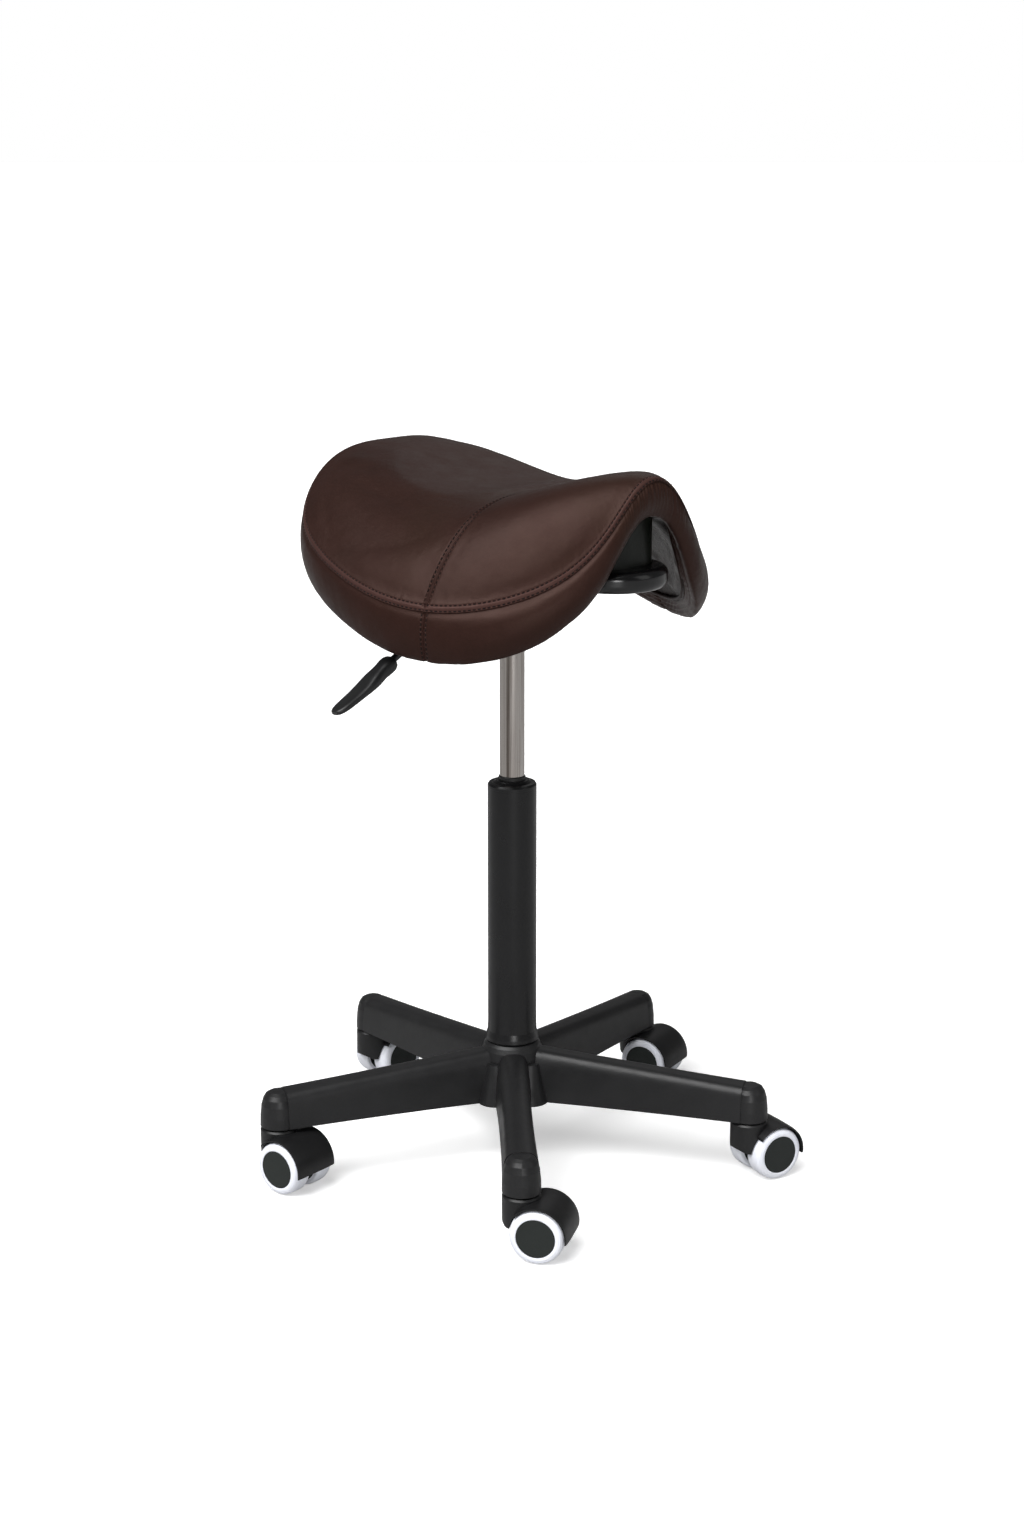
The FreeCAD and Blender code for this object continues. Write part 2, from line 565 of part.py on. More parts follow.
stems = []
for k in ("f", "l", "r", "bl", "br"):
    s = revolve([(0, 46.0), (4.6, 46.0), (5.5, 47.0), (5.5, 66.4), (9.0, 66.4), (9.0, BASE_BOTTOM - 0.05), (5.5, BASE_BOTTOM - 0.05), (5.5, BASE_BOTTOM + 25.0), (4.9, BASE_BOTTOM + 26.0), (4.9, BASE_BOTTOM + 29.0), (5.5, BASE_BOTTOM + 30.0), (4.2, BASE_BOTTOM + 32.6), (0, BASE_BOTTOM + 32.6)])
    stems.append(place(s, ARM_AZ[k] - 90.0, STEM_CIRCLE * sin(radians(ARM_AZ[k])), -STEM_CIRCLE * cos(radians(ARM_AZ[k]))))
out("caster_stems", Part.makeCompound(stems))

# ------------------------------------------------------------------ caster, local frame:
# stem axis at the origin, axle along Y at x = TRAIL, -Y side is wheel a
def crown(y):
    return HOOD_R - 0.5 * (abs(y) / 29.0) ** 2 - 0.8 * (abs(y) / 29.0) ** 6


prof = [V(TRAIL, -29.0, WHEEL_R)]
ys = [-29.0, -28.2, -26.0, -22.0, -15.0, -7.0, 0.0, 7.0, 15.0, 22.0, 26.0, 28.2, 29.0]
cr = Part.BSplineCurve()
cr.interpolate([V(TRAIL, y, WHEEL_R + crown(y)) for y in ys])
pw = Part.Wire([Part.makeLine(V(TRAIL, -29.0, WHEEL_R), V(TRAIL, -29.0, WHEEL_R + crown(-29.0))), cr.toShape(),
                Part.makeLine(V(TRAIL, 29.0, WHEEL_R + crown(29.0)), V(TRAIL, 29.0, WHEEL_R)), Part.makeLine(V(TRAIL, 29.0, WHEEL_R), V(TRAIL, -29.0, WHEEL_R))])
hood = Part.Face(pw).revolve(V(TRAIL, 0, WHEEL_R), V(0, 1, 0), 360)
collar = revolve([(0, 30.0), (COLLAR_D / 2 - 0.6, 30.0), (COLLAR_D / 2, 40.0), (COLLAR_D / 2, COLLAR_TOP - 2.0), (COLLAR_D / 2 - 1.6, COLLAR_TOP), (12.0, COLLAR_TOP), (11.0, COLLAR_TOP - 1.5), (0, COLLAR_TOP - 1.5)])
hood = hood.cut(box(-60, -1.5, -60, 60, -20.0, 90.0))
housing = hood.fuse(collar)
# wheels' space on both sides of the web
for sgn in (-1, 1):
    y0 = WEB if sgn > 0 else -45.0
    housing = housing.cut(Part.makeCylinder(HOOD_IN, 45.0 - WEB, V(TRAIL, y0, WHEEL_R), V(0, 1, 0)))
housing = housing.cut(box(-60, 90, -60, 60, -20.0, 18.0))
housing = housing.cut(box(-60, -5.0, -60, 60, -20.0, 33.0))
# slanting lower edge on the stem side
wdg = Part.Face(Part.makePolygon([V(-60, -60, 45.0), V(-60, -60, 0), V(4.0, -60, 0), V(4.0, -60, 22.0), V(-14.0, -60, 33.5), V(-26.0, -60, 41.0), V(-60, -60, 45.0)])).extrude(V(0, 120, 0))
housing = housing.cut(wdg)
# the hood's end past the axle leans back a little
wdg2 = Part.Face(Part.makePolygon([V(TRAIL + 20, -60, -5.0), V(TRAIL + 60, -60, -5.0), V(TRAIL + 60, -60, 37.0), V(TRAIL + 20, -60, 21.0), V(TRAIL + 20, -60, -5.0)])).extrude(V(0, 120, 0))
housing = housing.cut(wdg2)
# web trimmed round the axle
housing = housing.cut(box(TRAIL + 12.0, TRAIL + HOOD_IN - 0.6, -WEB - 1, WEB + 1, 10.0, 34.0))
# stem socket and axle bore
housing = housing.cut(cyl(5.56, 44.0, 90.0)).cut(cyl(4.0, 40.0, 60.0))
housing = housing.cut(Part.makeCylinder(4.0, 60.0, V(TRAIL, -30, WHEEL_R), V(0, 1, 0)))
housing = housing.removeSplitter()

axle = Part.makeCylinder(4.0, 50.0, V(TRAIL, -25.0, WHEEL_R), V(0, 1, 0))


def wheel(sgn):
    """core with an outer disc face; tread ring over it"""
    def rv(pts):
        w = Part.makePolygon([V(TRAIL, sgn * y, WHEEL_R + r) for y, r in pts] + [V(TRAIL, sgn * pts[0][0], WHEEL_R + pts[0][1])])
        return Part.Face(w).revolve(V(TRAIL, 0, WHEEL_R), V(0, 1, 0), 360)
    core = rv([(5.4, 4.06), (5.4, 9.0), (9.0, 9.0), (9.0, 20.0), (6.8, 20.0), (6.8, 24.0), (22.0, 24.0), (24.5, 22.6), (28.9, 21.5), (29.9, 21.0), (30.1, 20.0), (30.3, 8.0), (30.3, 0.0), (26.6, 0.0), (26.6, 4.06)])
    tread = rv([(6.8, 24.05), (6.8, 27.6), (7.6, 28.9), (9.6, 29.8), (13.0, WHEEL_R), (21.5, WHEEL_R), (25.0, 29.6), (27.4, 28.7), (29.2, 27.0), (30.1, 24.6), (30.2, 22.6), (29.9, 21.6), (28.9, 21.6), (24.5, 22.7), (22.0, 24.05)])
    return core, tread


for k in ("f", "l", "r", "bl", "br"):
    a = ARM_AZ[k]
    x, y = STEM_CIRCLE * sin(radians(a)), -STEM_CIRCLE * cos(radians(a))
    rot = -CASTER_YAW[k]
    out("caster_%s_housing" % k, place(housing, rot, x, y))
    out("caster_%s_axle" % k, place(axle, rot, x, y))
    for nm, sgn in (("a", -1), ("b", 1)):
        c, t = wheel(sgn)
        out("caster_%s_core_%s" % (k, nm), place(c, rot, x, y))
        out("caster_%s_tread_%s" % (k, nm), place(t, rot, x, y))
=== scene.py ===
"""Saddle stool: how it looks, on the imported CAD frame. Metres, Z up."""
import math
import bpy
import numpy as np
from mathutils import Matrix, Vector, noise
from mathutils.bvhtree import BVHTree
from mathutils.kdtree import KDTree

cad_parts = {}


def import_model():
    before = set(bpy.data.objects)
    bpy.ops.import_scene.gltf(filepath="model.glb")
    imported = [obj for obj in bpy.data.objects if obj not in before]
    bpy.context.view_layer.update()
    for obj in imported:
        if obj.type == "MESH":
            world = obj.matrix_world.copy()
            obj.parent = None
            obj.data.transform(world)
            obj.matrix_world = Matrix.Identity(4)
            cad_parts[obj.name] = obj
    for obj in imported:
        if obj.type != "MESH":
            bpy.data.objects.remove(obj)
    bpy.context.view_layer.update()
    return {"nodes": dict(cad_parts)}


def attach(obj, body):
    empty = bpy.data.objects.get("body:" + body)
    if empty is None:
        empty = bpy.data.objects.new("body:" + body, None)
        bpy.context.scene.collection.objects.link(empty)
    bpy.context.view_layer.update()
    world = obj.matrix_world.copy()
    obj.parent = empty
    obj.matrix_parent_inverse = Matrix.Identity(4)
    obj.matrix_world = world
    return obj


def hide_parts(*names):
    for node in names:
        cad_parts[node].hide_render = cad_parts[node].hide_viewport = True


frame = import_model()
scene = bpy.context.scene
nodes = frame["nodes"]

# ------------------------------------------------------------------ camera
cam_data = bpy.data.cameras.new("camera")
cam_data.sensor_width = 36.0
cam_data.lens = 60.88
cam_data.clip_end = 60.0
cam = bpy.data.objects.new("camera", cam_data)
scene.collection.objects.link(cam)
cam.location = (-0.00012, -2.81483, 1.19590)
cam.rotation_euler = (math.radians(90.0 - 14.70), 0.0, 0.0)
scene.camera = cam

# ------------------------------------------------------------------ seat form, in mm, as in the CAD
AZ = math.radians(-44.0)
UC, LA, LW, LE, LT = 5.35, 199.13, 207.22, 0.5622, (-0.080, -0.0985, -0.137)
RIDGE = (773.70, 1.562, 82.148, -3.332, -47.926)
DROP_B = (213.39, -37.755, -88.544)
DROP_P = (4.3188, -0.5343, -1.6885)
PAD = 44.0
BAND_AT = np.array((0, 15, 30, 45, 60, 78, 110, 145, 180), float)
BAND_H = np.array((44.8, 58.0, 63.0, 67.0, 67.0, 65.5, 60.0, 57.0, 56.0))
BAND_OUT = np.array((5.5, 7.0, 9.5, 10.5, 7.5, 5.5, 5.0, 5.0, 5.0))
LEATHER = 1.4
SEAM_TH = 1.277
PITCH = 5.2            # stitch pitch
ROW = 3.0              # stitch rows, either side of the perimeter seam
CROW = 2.75            # stitch rows, either side of the cross seam
LAP = 4.4              # the top panels lap this far over the band


def top_z(u, v):
    t = u / 200.0
    r = RIDGE[0] + RIDGE[1] * t + RIDGE[2] * t ** 2 + RIDGE[3] * t ** 3 + RIDGE[4] * t ** 4
    b = np.maximum(DROP_B[0] + DROP_B[1] * t + DROP_B[2] * t * t, 20.0)
    q = np.clip(DROP_P[0] + DROP_P[1] * t + DROP_P[2] * t * t, 1.2, 8.0)
    return r - 100.0 * (np.abs(v) / b) ** q


def grad(u, v):
    e = 0.5
    return (top_z(u + e, v) - top_z(u - e, v)) / (2 * e), (top_z(u, v + e) - top_z(u, v - e)) / (2 * e)


def rim(th):
    c, s = np.cos(th), np.sin(th)
    w = LW * np.abs(s) ** LE * (1 + LT[0] * c + LT[1] * c * c + LT[2] * c ** 3)
    return UC + LA * c, np.where(s >= 0, w, -w)


def rim_normal(th):
    a, b = rim(th - 0.02), rim(th + 0.02)
    n = (b[1] - a[1], -(b[0] - a[0]))
    h = np.hypot(*n)
    return n[0] / h, n[1] / h


def world(u, v, z):
    c, s = math.cos(AZ), math.sin(AZ)
    return np.stack([u * c - v * s, u * s + v * c, z + 0 * u], -1)


def table(th, vals):
    d = np.abs((np.degrees(th) + 180.0) % 360.0 - 180.0)
    m = np.zeros(len(vals))
    m[1:-1] = (vals[2:] - vals[:-2]) / (BAND_AT[2:] - BAND_AT[:-2])
    i = np.clip(np.searchsorted(BAND_AT, d, side="left") - 1, 0, len(vals) - 2)
    h = BAND_AT[i + 1] - BAND_AT[i]
    f = (d - BAND_AT[i]) / h
    return ((2 * f ** 3 - 3 * f ** 2 + 1) * vals[i] + (f ** 3 - 2 * f ** 2 + f) * m[i] * h
            + (-2 * f ** 3 + 3 * f ** 2) * vals[i + 1] + (f ** 3 - f ** 2) * m[i + 1] * h)


def depth(r, th):
    return PAD + (table(th, BAND_H) - PAD) * r ** 3


def spline_basis(n, deg, x):
    """values of a clamped B-spline's n basis functions at x"""
    k = np.concatenate([np.zeros(deg), np.linspace(0, 1, n - deg + 1), np.ones(deg)])
    B = np.zeros((len(x), len(k) - 1))
    xx = np.clip(x, 0, 1 - 1e-9)
    for i in range(len(k) - 1):
        B[:, i] = (xx >= k[i]) & (xx < k[i + 1])
    for d in range(1, deg + 1):
        N = np.zeros((len(x), len(k) - 1 - d))
        for i in range(len(k) - 1 - d):
            a = (xx - k[i]) / (k[i + d] - k[i]) * B[:, i] if k[i + d] > k[i] else 0.0
            b = (k[i + d + 1] - xx) / (k[i + d + 1] - k[i + 1]) * B[:, i + 1] if k[i + d + 1] > k[i + 1] else 0.0
            N[:, i] = a + b
        B = N
    return B


def band_poles(th):
    """poles of the side band's section at each th, in world mm: (n, 8, 3)"""
    u, v = rim(th)
    n = rim_normal(th)
    z0 = top_z(u, v)
    h = table(th, BAND_H)
    bu = table(th, BAND_OUT)
    g = grad(u, v)
    sl = np.clip(-(g[0] * n[0] + g[1] * n[1]), -0.3, 1.6)
    sq = np.sqrt(1 + g[0] ** 2 + g[1] ** 2)
    one = np.ones_like(u)
    pts = [(0.9 * one, -LEATHER * sq - 0.6), (0.72 * bu, -0.17 * h), (bu, -0.40 * h), (0.85 * bu, -0.64 * h), (-0.02 * bu, -0.86 * h),
           (-5.5 * one, -0.965 * h + 1.5 * sl), (-12.0 * one, -h + 10.0 * sl), (-19.0 * one, -h + 17.5 * sl)]
    return np.stack([world(u + n[0] * d, v + n[1] * d, z0 + z) for d, z in pts], 1)


def along(poly, s_tab, s):
    """point on each row's polyline at arc lengths s: poly (n, m, 3), s_tab (n, m) rising, s (n, k)"""
    out = np.zeros(s.shape + (3,))
    for i in range(len(poly)):
        for c in range(3):
            out[i, :, c] = np.interp(s[i], s_tab[i], poly[i, :, c])
    return out


S_IN = 26.0            # the rim strip starts this far inside the perimeter seam


def rim_sections(th):
    """smoothed section over the perimeter seam for each th: arc lengths (m,), points (n, m, 3), and the band's length (n,).
    Arc length is 0 at the seam, positive over the top, negative down the band."""
    u, v = rim(th)
    n = rim_normal(th)
    d = np.linspace(0, 46.0, 185)[None, :]
    uu, vv = u[:, None] - n[0][:, None] * d, v[:, None] - n[1][:, None] * d
    top = world(uu, vv, top_z(uu, vv))
    st = np.concatenate([np.zeros((len(th), 1)), np.cumsum(np.linalg.norm(np.diff(top, axis=1), axis=2), 1)], 1)
    B = spline_basis(8, 3, np.linspace(0, 1, 121))
    band = np.einsum("km,nmc->nkc", B, band_poles(th))
    first = np.linalg.norm(band[:, 0] - top[:, 0], axis=1)[:, None]
    sb = first + np.concatenate([np.zeros((len(th), 1)), np.cumsum(np.linalg.norm(np.diff(band, axis=1), axis=2), 1)], 1)
    whole = np.concatenate([band[:, ::-1], top], 1)
    s_all = np.concatenate([-sb[:, ::-1], st], 1)
    length = sb[:, -1]
    step = 0.5
    s_reg = np.arange(-60.0, 40.0 + step / 2, step)
    pts = along(whole, s_all, np.repeat(s_reg[None], len(th), 0))
    k = np.exp(-0.5 * (np.arange(-16, 17) * step / 2.3) ** 2)
    k /= k.sum()
    sm = np.stack([np.stack([np.convolve(np.pad(pts[i, :, c], 16, mode="reflect", reflect_type="odd"), k, mode="valid") for c in range(3)], -1) for i in range(len(th))])
    w = np.clip((24.0 - np.abs(s_reg)) / 10.0, 0, 1)[None, :, None]
    w = w * w * (3 - 2 * w)
    mixed = sm * w + pts * (1 - w)
    return s_reg, mixed, whole, s_all, length


def rim_points(sec, s):
    """points at signed arc lengths s (n, k) from the rim sections; past 56 mm down the band they come from the full section"""
    s_reg, mixed, whole, s_all, length = sec
    near = along(mixed, np.repeat(s_reg[None], len(mixed), 0), s)
    far = along(whole, s_all, s)
    w = np.clip((s + 56.0) / 6.0, 0, 1)[..., None]
    return near * w + far * (1 - w)


# rim samples: one list of angles for everything that follows the perimeter seam, nearly even along it
near = 0.06 * (np.arange(1, 161) / 160.0) ** 2.5           # the rim runs fast in th where it crosses the middle line
dense = np.unique(np.concatenate([np.linspace(-SEAM_TH, 2 * math.pi - SEAM_TH, 6001), -near, [0.0], near, math.pi - near, [math.pi], math.pi + near]))
du_, dv_ = rim(dense)
rim3 = world(du_, dv_, top_z(du_, dv_))
rim_arc = np.concatenate([[0], np.cumsum(np.linalg.norm(np.diff(rim3, axis=0), axis=1))])


def even_angles(t0, t1, n):
    """n + 1 angles from t0 to t1, even along the seam in space"""
    a0, a1 = np.interp([t0, t1], dense, rim_arc)
    return np.interp(np.linspace(a0, a1, n + 1), rim_arc, dense)


def arc_at(th):
    """distance along the perimeter seam from the cross seam's near end, mm"""
    return np.interp(th, dense, rim_arc)


# ------------------------------------------------------------------ mesh helpers
def new_mesh(name, co_mm, faces, body="seat", material=None, slot=None, smooth=True, attrs=None):
    me = bpy.data.meshes.new(name)
    me.from_pydata((np.asarray(co_mm) * 0.001).tolist(), [], faces)
    me.validate()
    o = bpy.data.objects.new(name, me)
    scene.collection.objects.link(o)
    if smooth:
        me.polygons.foreach_set("use_smooth", [True] * len(me.polygons))
    for key, val in (attrs or {}).items():
        a = me.attributes.new(key, "FLOAT", "POINT")
        a.data.foreach_set("value", np.asarray(val, np.float32))
    if material is not None:
        me.materials.append(material)
    me.update()
    return o


def grid_faces(n, m, off=0, flip=False):
    """quads of an n by m grid of vertices, row by row"""
    i, j = np.meshgrid(np.arange(n - 1), np.arange(m - 1), indexing="ij")
    a = off + i * m + j
    q = np.stack([a, a + 1, a + m + 1, a + m], -1).reshape(-1, 4)
    return (q[:, ::-1] if flip else q).tolist()


def apply_modifiers(o):
    dg = bpy.context.evaluated_depsgraph_get()
    me = bpy.data.meshes.new_from_object(o.evaluated_get(dg), preserve_all_data_layers=True, depsgraph=dg)
    old = o.data
    o.modifiers.clear()
    o.data = me
    me.name = o.name
    bpy.data.meshes.remove(old)
    return o


def vertex_normals(o):
    n = np.zeros(len(o.data.vertices) * 3)
    o.data.vertices.foreach_get("normal", n)
    return n.reshape(-1, 3)


def vertex_co(o):
    n = np.zeros(len(o.data.vertices) * 3)
    o.data.vertices.foreach_get("co", n)
    return n.reshape(-1, 3)


def set_co(o, co):
    o.data.vertices.foreach_set("co", np.asarray(co).ravel())
    o.data.update()


def fractal(p, scale, octaves=3, seed=0.0):
    """smooth noise at points p (mm), one value each, about -1 to 1"""
    out = np.empty(len(p))
    for i, q in enumerate(p):
        out[i] = noise.fractal(Vector((q[0] * scale + seed, q[1] * scale - seed * 0.7, q[2] * scale + seed * 1.3)), 0.9, 2.0, octaves)
    return out


def bump(x, c, w):
    return np.exp(-0.5 * ((x - c) / w) ** 2)


def ease(x):
    x = np.clip(x, 0, 1)
    return x * x * (3 - 2 * x)


# ------------------------------------------------------------------ the stuffed pad: cloth simulation on a slightly smaller closed form
def pad_form():
    """closed coarse form of the stuffed pad (mm), seams at full size, panels between them pulled in"""
    nth = 160
    th = even_angles(-SEAM_TH, 2 * math.pi - SEAM_TH, nth)[:-1]
    sec = rim_sections(th)
    L = sec[4]
    rows = [S_IN - 2.0, 20.0, 14.0, 9.0, 5.0, 2.0, 0.0, -2.0, -5.0, -9.0, -14.0]
    s = [np.full(nth, r) for r in rows] + [-14.0 - f * (L - 14.0) for f in np.linspace(0, 1, 13)[1:]]
    ring = rim_points(sec, np.stack(s, 1))
    u, v = rim(th)
    n = rim_normal(th)
    verts, faces = [ring[:, k] for k in range(ring.shape[1])], []
    inner_u, inner_v = (ring[:, 0, 0] * math.cos(AZ) + ring[:, 0, 1] * math.sin(AZ)), (-ring[:, 0, 0] * math.sin(AZ) + ring[:, 0, 1] * math.cos(AZ))
    top_rows = []
    for q in np.linspace(1, 0, 31)[1:-1]:
        uu, vv = UC + (inner_u - UC) * q, inner_v * q
        top_rows.append(world(uu, vv, top_z(uu, vv)))
    bottom_rows = []
    last = ring[:, -1]
    bu, bv = last[:, 0] * math.cos(AZ) + last[:, 1] * math.sin(AZ), -last[:, 0] * math.sin(AZ) + last[:, 1] * math.cos(AZ)
    for q in np.linspace(1, 0, 21)[1:-1]:
        uu, vv = UC + (bu - UC) * q, bv * q
        z = top_z(uu, vv) - 0.80 * depth(q, th)
        bottom_rows.append(world(uu, vv, z))
    rings = top_rows[::-1] + verts + bottom_rows
    co = np.concatenate(rings)
    m = len(rings)
    idx = np.arange(m * nth).reshape(m, nth)
    for i in range(m - 1):
        for j in range(nth):
            k = (j + 1) % nth
            faces.append((idx[i, j], idx[i, k], idx[i + 1, k], idx[i + 1, j]))
    c0, c1 = len(co), len(co) + 1
    co = np.concatenate([co, world(np.array([UC]), np.array([0.0]), top_z(UC, 0.0)), world(np.array([UC]), np.array([0.0]), top_z(UC, 0.0) - 0.80 * PAD)])
    for j in range(nth):
        k = (j + 1) % nth
        faces.append((idx[0, k], idx[0, j], c0))
        faces.append((idx[-1, j], idx[-1, k], c1))
    return co, [tuple(int(x) for x in f) for f in faces]


seam_pts = np.concatenate([rim3[::8]])
_v = np.linspace(-1, 1, 400)
_w = float(rim(np.array(SEAM_TH))[1])
_u0 = float(rim(np.array(SEAM_TH))[0])
cross_u = lambda v: _u0 + 2.8 * (1 - np.minimum(np.abs(v) / _w, 1.0) ** 2)
cross3 = world(cross_u(_v * _w), _v * _w, top_z(cross_u(_v * _w), _v * _w))
kd_seam = KDTree(len(seam_pts) + len(cross3))
for i_, p_ in enumerate(np.concatenate([seam_pts, cross3])):
    kd_seam.insert(Vector(p_), i_)
kd_seam.balance()


def seam_distance(p):
    return np.array([kd_seam.find(Vector(q))[2] for q in p])


INSET, CAP = 2.6, 7.0
pad_co, pad_faces = pad_form()
pad = new_mesh("saddle_foam", pad_co, pad_faces)
mod = pad.modifiers.new("remesh", "REMESH")
mod.mode = "VOXEL"
mod.voxel_size = 0.0055
apply_modifiers(pad)
start = vertex_co(pad) * 1000.0
nrm = vertex_normals(pad)
sd0 = seam_distance(start)
# under side: held flat against the shell
pu = start[:, 0] * math.cos(AZ) + start[:, 1] * math.sin(AZ)
pv = -start[:, 0] * math.sin(AZ) + start[:, 1] * math.cos(AZ)
below = top_z(pu, pv) - start[:, 2]
under = nrm[:, 2] < -0.45
free = ease((sd0 - 2.0) / 14.0)
start = start - nrm * (INSET * free)[:, None]
set_co(pad, start * 0.001)
vg = pad.vertex_groups.new(name="held")
hold = np.where(under, 1.0, 1.0 - ease((sd0 - 3.0) / 3.0))
for i_ in np.nonzero(hold > 0.02)[0]:
    vg.add([int(i_)], float(hold[i_]), "REPLACE")
cl = pad.modifiers.new("cloth", "CLOTH")
st = cl.settings
st.quality = 6
st.mass = 0.35
st.tension_stiffness = 22.0
st.compression_stiffness = 16.0
st.shear_stiffness = 9.0
st.bending_stiffness = 1.6
st.use_pressure = True
st.uniform_pressure_force = 4.0
st.vertex_group_mass = "held"
st.effector_weights.gravity = 0.0
cl.collision_settings.use_collision = False
cl.collision_settings.use_self_collision = False
cl.point_cache.frame_start, cl.point_cache.frame_end = 1, 20
for f_ in range(1, 21):
    scene.frame_set(f_)
dg_ = bpy.context.evaluated_depsgraph_get()
ev_ = pad.evaluated_get(dg_)
sim = vertex_co(ev_) * 1000.0
pad.modifiers.clear()
scene.frame_set(1)
delta = sim - start
size_ = np.linalg.norm(delta, axis=1)
delta *= np.minimum(1.0, CAP / np.maximum(size_, 1e-6))[:, None]
# even out the field along the surface
ed = np.zeros(len(pad.data.edges) * 2, int)
pad.data.edges.foreach_get("vertices", ed)
ed = ed.reshape(-1, 2)
lift = np.einsum("ij,ij->i", delta, nrm)
for _ in range(6):
    acc, cnt = lift.copy(), np.ones(len(lift))
    np.add.at(acc, ed[:, 0], lift[ed[:, 1]])
    np.add.at(acc, ed[:, 1], lift[ed[:, 0]])
    np.add.at(cnt, ed[:, 0], 1)
    np.add.at(cnt, ed[:, 1], 1)
    lift = acc / cnt
swell = lift - INSET * free                       # against the drawn form
open_ = (~under) & (sd0 > 16.0)
mean_ = float(np.mean(swell[open_])) if open_.any() else 0.0
swell = swell - mean_ * ease((sd0 - 2.0) / 16.0)  # the panels' middle keeps the drawn form, their edges dip to the seams
swell = np.clip(swell, -3.0, 3.5)
swell[under] = 0.0
print("pad", len(start), "swell", round(float(swell.min()), 2), round(float(swell.max()), 2), "mean taken out", round(mean_, 2))
drawn = start + nrm * (INSET * free)[:, None]
kd_pad = KDTree(len(drawn))
for i_, p_ in enumerate(drawn):
    kd_pad.insert(Vector(p_), i_)
kd_pad.balance()


def swell_at(p):
    out = np.zeros(len(p))
    for i, q in enumerate(p):
        near = kd_pad.find_n(Vector(q), 5)
        w = [1.0 / (d * d + 4.0) for _, _, d in near]
        out[i] = sum(a * swell[k[1]] for a, k in zip(w, near)) / sum(w)
    return out


# the foam itself lies under the leather and ends on the shell
foam_co = drawn + nrm * (swell - 3.0)[:, None]
fu, fv = foam_co[:, 0] * math.cos(AZ) + foam_co[:, 1] * math.sin(AZ), -foam_co[:, 0] * math.sin(AZ) + foam_co[:, 1] * math.cos(AZ)
ang_ = np.linspace(0, math.pi, 721)
ru_, rv_ = rim(ang_)
pol_ = np.arctan2(rv_, ru_ - UC)
fth = np.interp(np.arctan2(np.abs(fv), fu - UC), pol_, ang_)
fru, frv = rim(fth)
frr = np.hypot(fu - UC, fv) / np.hypot(fru - UC, frv)
floor_z = top_z(fu, fv) - 0.665 * depth(np.minimum(frr, 1.0), fth)
foam_co[:, 2] = np.maximum(foam_co[:, 2], floor_z)
set_co(pad, foam_co * 0.001)
mod = pad.modifiers.new("remesh", "REMESH")
mod.mode = "VOXEL"
mod.voxel_size = 0.0050
sm_ = pad.modifiers.new("smooth", "SMOOTH")
sm_.iterations = 4
apply_modifiers(pad)
sub = pad.modifiers.new("sub", "SUBSURF")
sub.levels = sub.render_levels = 1
apply_modifiers(pad)
pad.data.polygons.foreach_set("use_smooth", [True] * len(pad.data.polygons))


# ------------------------------------------------------------------ leather panels
STEP = 1.7
LAP_ROWS = (26.0, 23.0, 20.0, 17.0, 14.5, 12.0, 10.0, 8.4, 7.0, 5.8, 4.9, 4.2, 3.6, 3.0, 2.4, 1.6, 0.8, 0.0, -0.8, -1.6, -2.4, -3.0, -3.6, -4.1, -4.4)
BAND_ROWS = (-1.8, -3.0, -3.8, -4.4, -4.9, -5.5, -6.3, -7.4, -9.0, -11.0, -13.5, -16.0, -19.0)
NEAR = (0.0, 0.4, 0.9, 1.5, 2.1, 2.75, 3.4, 4.1, 5.0, 6.2, 7.6)


def spread(length, step):
    """distances from 0 to length: close together near 0, then even"""
    rest = np.linspace(NEAR[-1], length, max(3, int((length - NEAR[-1]) / step) + 1))[1:]
    return np.concatenate([NEAR, rest])


def columns(front):
    """angles of the columns along the perimeter seam, and how many belong to each side of the patch"""
    gap = 0.04 / 205.0
    thc = 0.75 if front else math.pi - 0.75
    end = SEAM_TH - gap if front else SEAM_TH + gap
    a_end, a_c = arc_of(end), arc_of(thc)
    side = np.sign(a_c - a_end) * spread(abs(a_c - a_end), STEP) + a_end      # on the +v side, from the cross seam outwards
    th_r = angle_of(side)
    n_mid = int(abs(2 * (arc_of(thc) - (arc_of(0.0) if front else arc_of(math.pi)))) / (min(STEP, 1.7) * (0.62 if front else 1.0)))
    if front:
        mid = angle_of(np.linspace(arc_of(-thc), arc_of(thc), n_mid + 1))
    else:
        mid = angle_of(np.linspace(arc_of(2 * math.pi - thc), arc_of(thc), n_mid + 1))
    return th_r, mid


def arc_of(th):
    return float(np.interp(th, dense, rim_arc)) if np.ndim(th) == 0 else np.interp(th, dense, rim_arc)


def angle_of(a):
    return np.interp(a, rim_arc, dense)


def plan(p):
    return p[..., 0] * math.cos(AZ) + p[..., 1] * math.sin(AZ), -p[..., 0] * math.sin(AZ) + p[..., 1] * math.cos(AZ)


kd_cross = KDTree(1201)
_cv = np.linspace(-_w, _w, 1201)
_c3 = world(cross_u(_cv), _cv, top_z(cross_u(_cv), _cv))
_ca = np.concatenate([[0], np.cumsum(np.linalg.norm(np.diff(_c3, axis=0), axis=1))])
for i_, p_ in enumerate(_c3):
    kd_cross.insert(Vector(p_), i_)
kd_cross.balance()
kd_rim = KDTree(len(rim3))
for i_, p_ in enumerate(rim3):
    kd_rim.insert(Vector(p_), i_)
kd_rim.balance()


def cross_field(p):
    """unsigned distance to the cross seam and place along it"""
    d, a = np.empty(len(p)), np.empty(len(p))
    for i, q in enumerate(p):
        _, k, dist = kd_cross.find(Vector(q))
        d[i], a[i] = dist, _ca[k]
    return d, a


